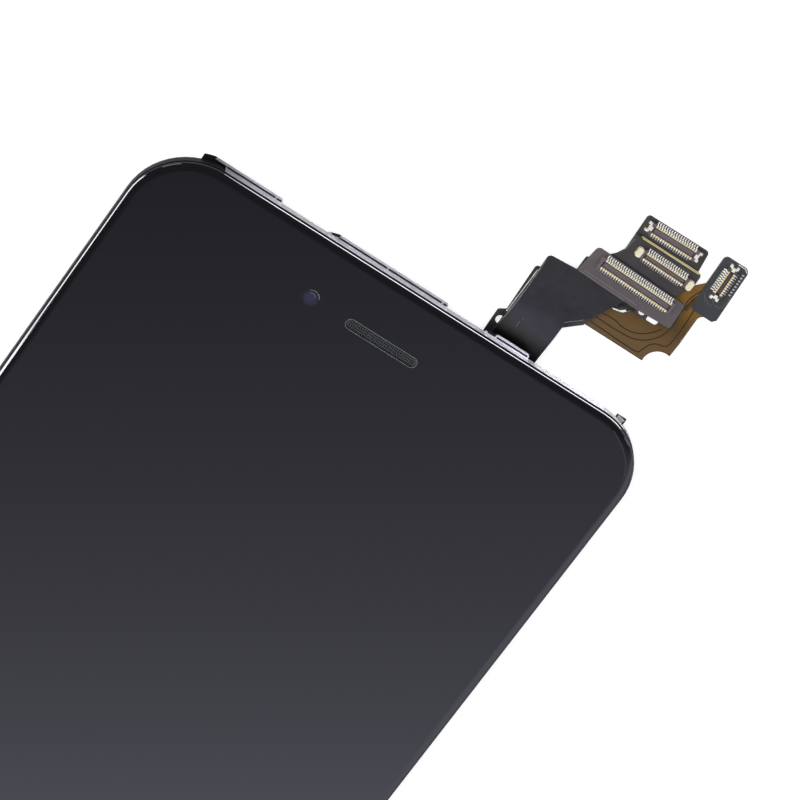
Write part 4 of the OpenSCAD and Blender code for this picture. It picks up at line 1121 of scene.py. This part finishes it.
@dataclass
class Studio:
    """Pale floor, soft light and the camera.

    Attributes:
        camera_at: the camera's place.
        right: the picture's right in the scene.
        up: the picture's up in the scene.
        lens_mm: focal length on a 36 mm wide sensor.
    """

    camera_at: Point = (-0.129216, 0.256126, 0.554382)
    right: tuple[float, float, float] = (0.82621899, 0.56332837, -0.00483092)
    up: tuple[float, float, float] = (-0.51629524, 0.75375011, -0.40657102)
    lens_mm: float = 210.22

    def build(self) -> None:
        """Sets up the world, floor, lights and camera."""
        self.world()
        self.floor()
        self.card("overhead_card", (0.0, -0.3, 1.1), (4.0, 4.0), None)
        self.card("edge_card_back", (0.6, 1.05, 0.12), (1.0, 0.3), 36.0, (0.5, 0.05))
        self.card("edge_card_left", (-0.8, -0.33, 0.45), (0.95, 0.6), 32.0, (0.12, 0.3))
        self.lamp("key_lamp", (-0.9, 0.5, 1.3), 9.0, 0.9)
        self.lamp("fill_lamp", (0.9, 0.9, 0.9), 5.0, 0.9)
        self.camera()

    def seen(self, tree: bpy.types.NodeTree) -> bpy.types.NodeSocket:
        """Returns 1 for rays from the camera, or reflected or let through to it."""
        path = add(tree, "ShaderNodeLightPath")
        both = add(
            tree,
            "ShaderNodeMath",
            {0: path.outputs["Is Camera Ray"], 1: path.outputs["Is Glossy Ray"]},
            operation="MAXIMUM",
        )
        return add(
            tree,
            "ShaderNodeMath",
            {0: both.outputs[0], 1: path.outputs["Is Transmission Ray"]},
            operation="MAXIMUM",
        ).outputs[0]

    def world(self) -> None:
        """Sets a white world that lights the object softly."""
        world = bpy.data.worlds.new("studio_world")
        bpy.context.scene.world = world
        world.use_nodes = True
        tree = world.node_tree
        tree.nodes.clear()
        level = add(
            tree, "ShaderNodeMapRange", {"Value": self.seen(tree), "To Min": 0.4, "To Max": 1.0}
        ).outputs["Result"]
        shade = add(tree, "ShaderNodeBackground", {"Color": (1.0, 1.0, 1.0, 1.0), "Strength": level})
        add(tree, "ShaderNodeOutputWorld", {"Surface": shade.outputs[0]})

    def floor(self) -> None:
        """Builds the white floor, which keeps a faint shadow."""
        shape = bmesh.new()
        bmesh.ops.create_grid(shape, x_segments=1, y_segments=1, size=3.0)
        mesh = bpy.data.meshes.new("floor")
        shape.to_mesh(mesh)
        shape.free()
        made = bpy.data.objects.new("floor", mesh)
        made.location.z = -0.02 * MM
        bpy.context.scene.collection.objects.link(made)
        material = bpy.data.materials.new("floor_paper_white")
        material.use_nodes = True
        tree = material.node_tree
        tree.nodes.clear()
        matt = add(tree, "ShaderNodeBsdfDiffuse", {"Color": linear("#cfcfcf")})
        glow = add(tree, "ShaderNodeEmission", {"Color": (1.0, 1.0, 1.0, 1.0)})
        level = add(tree, "ShaderNodeMath", {0: self.seen(tree), 1: 0.72}, operation="MULTIPLY")
        tree.links.new(level.outputs[0], glow.inputs["Strength"])
        both = add(tree, "ShaderNodeAddShader", {0: matt.outputs[0], 1: glow.outputs[0]})
        add(tree, "ShaderNodeOutputMaterial", {"Surface": both.outputs[0]})
        mesh.materials.append(material)

    def card(
        self,
        name: str,
        place: tuple[float, float, float],
        size: Point,
        level: float | None,
        soft: Point = (0.3, 0.3),
    ) -> None:
        """Builds a card that only mirror-like surfaces see.

        Args:
            name: the card's name.
            place: its middle.
            size: its width and height.
            level: its even brightness; None gives the overhead card, which brightens away from the camera.
            soft: the parts of its width over which it fades in and out.
        """
        shape = bmesh.new()
        bmesh.ops.create_grid(shape, x_segments=1, y_segments=1, size=0.5)
        bmesh.ops.scale(shape, vec=(size[0], size[1], 1.0), verts=shape.verts)
        mesh = bpy.data.meshes.new(name)
        shape.to_mesh(mesh)
        shape.free()
        made = bpy.data.objects.new(name, mesh)
        made.location = place
        bpy.context.scene.collection.objects.link(made)
        material = bpy.data.materials.new(f"{name}_light")
        material.use_nodes = True
        tree = material.node_tree
        tree.nodes.clear()
        glow = add(tree, "ShaderNodeEmission", {"Color": (1.0, 1.0, 1.0, 1.0)})
        if level is None:
            tree.links.new(self.gradient(tree), glow.inputs["Strength"])
        else:
            tree.links.new(self.fade(tree, level, soft), glow.inputs["Strength"])
            glow.inputs["Color"].default_value = (1.0, 0.99, 0.88, 1.0)
            made.rotation_euler = Vector(place).to_track_quat("Z", "Y").to_euler()
        add(tree, "ShaderNodeOutputMaterial", {"Surface": glow.outputs[0]})
        mesh.materials.append(material)
        made.visible_camera = False
        made.visible_diffuse = False
        made.visible_shadow = False

    def fade(self, tree: bpy.types.NodeTree, level: float, soft: Point) -> bpy.types.NodeSocket:
        """Returns a strip card's brightness, which falls off towards its two ends."""
        place = add(tree, "ShaderNodeTexCoord").outputs["Generated"]
        x = add(tree, "ShaderNodeSeparateXYZ", {"Vector": place}).outputs["X"]
        ends = [
            add(
                tree,
                "ShaderNodeMapRange",
                {"Value": x, "From Min": start, "From Max": stop, "To Min": 0.0, "To Max": 1.0},
                interpolation_type="SMOOTHSTEP",
            ).outputs["Result"]
            for start, stop in ((0.0, soft[0]), (1.0, 1.0 - soft[1]))
        ]
        both = add(tree, "ShaderNodeMath", {0: ends[0], 1: ends[1]}, operation="MULTIPLY").outputs[0]
        return add(tree, "ShaderNodeMath", {0: both, 1: level}, operation="MULTIPLY").outputs[0]

    def gradient(self, tree: bpy.types.NodeTree) -> bpy.types.NodeSocket:
        """Returns the overhead card's brightness."""
        place = add(tree, "ShaderNodeNewGeometry").outputs["Position"]
        along = add(
            tree, "ShaderNodeVectorMath", {0: place, 1: (0.563, -0.826, 0.0)}, operation="DOT_PRODUCT"
        ).outputs["Value"]
        power = add(
            tree, "ShaderNodeMath", {0: along, 1: 5.84, 2: -5.84 * 0.512}, operation="MULTIPLY_ADD"
        ).outputs[0]
        grown = add(tree, "ShaderNodeMath", {0: power}, operation="EXPONENT").outputs[0]
        return add(tree, "ShaderNodeClamp", {"Value": grown, "Min": 0.22, "Max": 1.9}).outputs[0]

    def lamp(self, name: str, place: tuple[float, float, float], watts: float, size: float) -> None:
        """Adds a square soft lamp that points at the panel."""
        data = bpy.data.lights.new(name, "AREA")
        data.energy = watts
        data.size = size
        made = bpy.data.objects.new(name, data)
        made.location = place
        made.rotation_euler = Vector(place).to_track_quat("Z", "Y").to_euler()
        bpy.context.scene.collection.objects.link(made)

    def camera(self) -> None:
        """Places the camera where the photograph was taken from."""
        data = bpy.data.cameras.new("photo_camera")
        data.lens = self.lens_mm
        data.sensor_width = 36.0
        data.clip_start = 0.01
        data.clip_end = 20.0
        made = bpy.data.objects.new("photo_camera", data)
        right, up = Vector(self.right), Vector(self.up)
        back = right.cross(up)
        turn = Matrix((right, up, back)).transposed().to_4x4()
        made.matrix_world = Matrix.Translation(self.camera_at) @ turn
        bpy.context.scene.collection.objects.link(made)
        bpy.context.scene.camera = made


def main() -> None:
    """Builds the scene piece by piece."""
    logging.basicConfig(level=logging.INFO, format="%(name)s: %(message)s")
    bpy.ops.wm.read_factory_settings(use_empty=True)
    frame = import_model()
    bpy.context.scene.view_settings.view_transform = "Standard"
    for part in (FrontWindow(frame), EarpieceZone(frame), CircuitTails(frame), HomeZone(frame)):
        part.build()
    Studio().build()


if __name__ == "__main__":
    main()
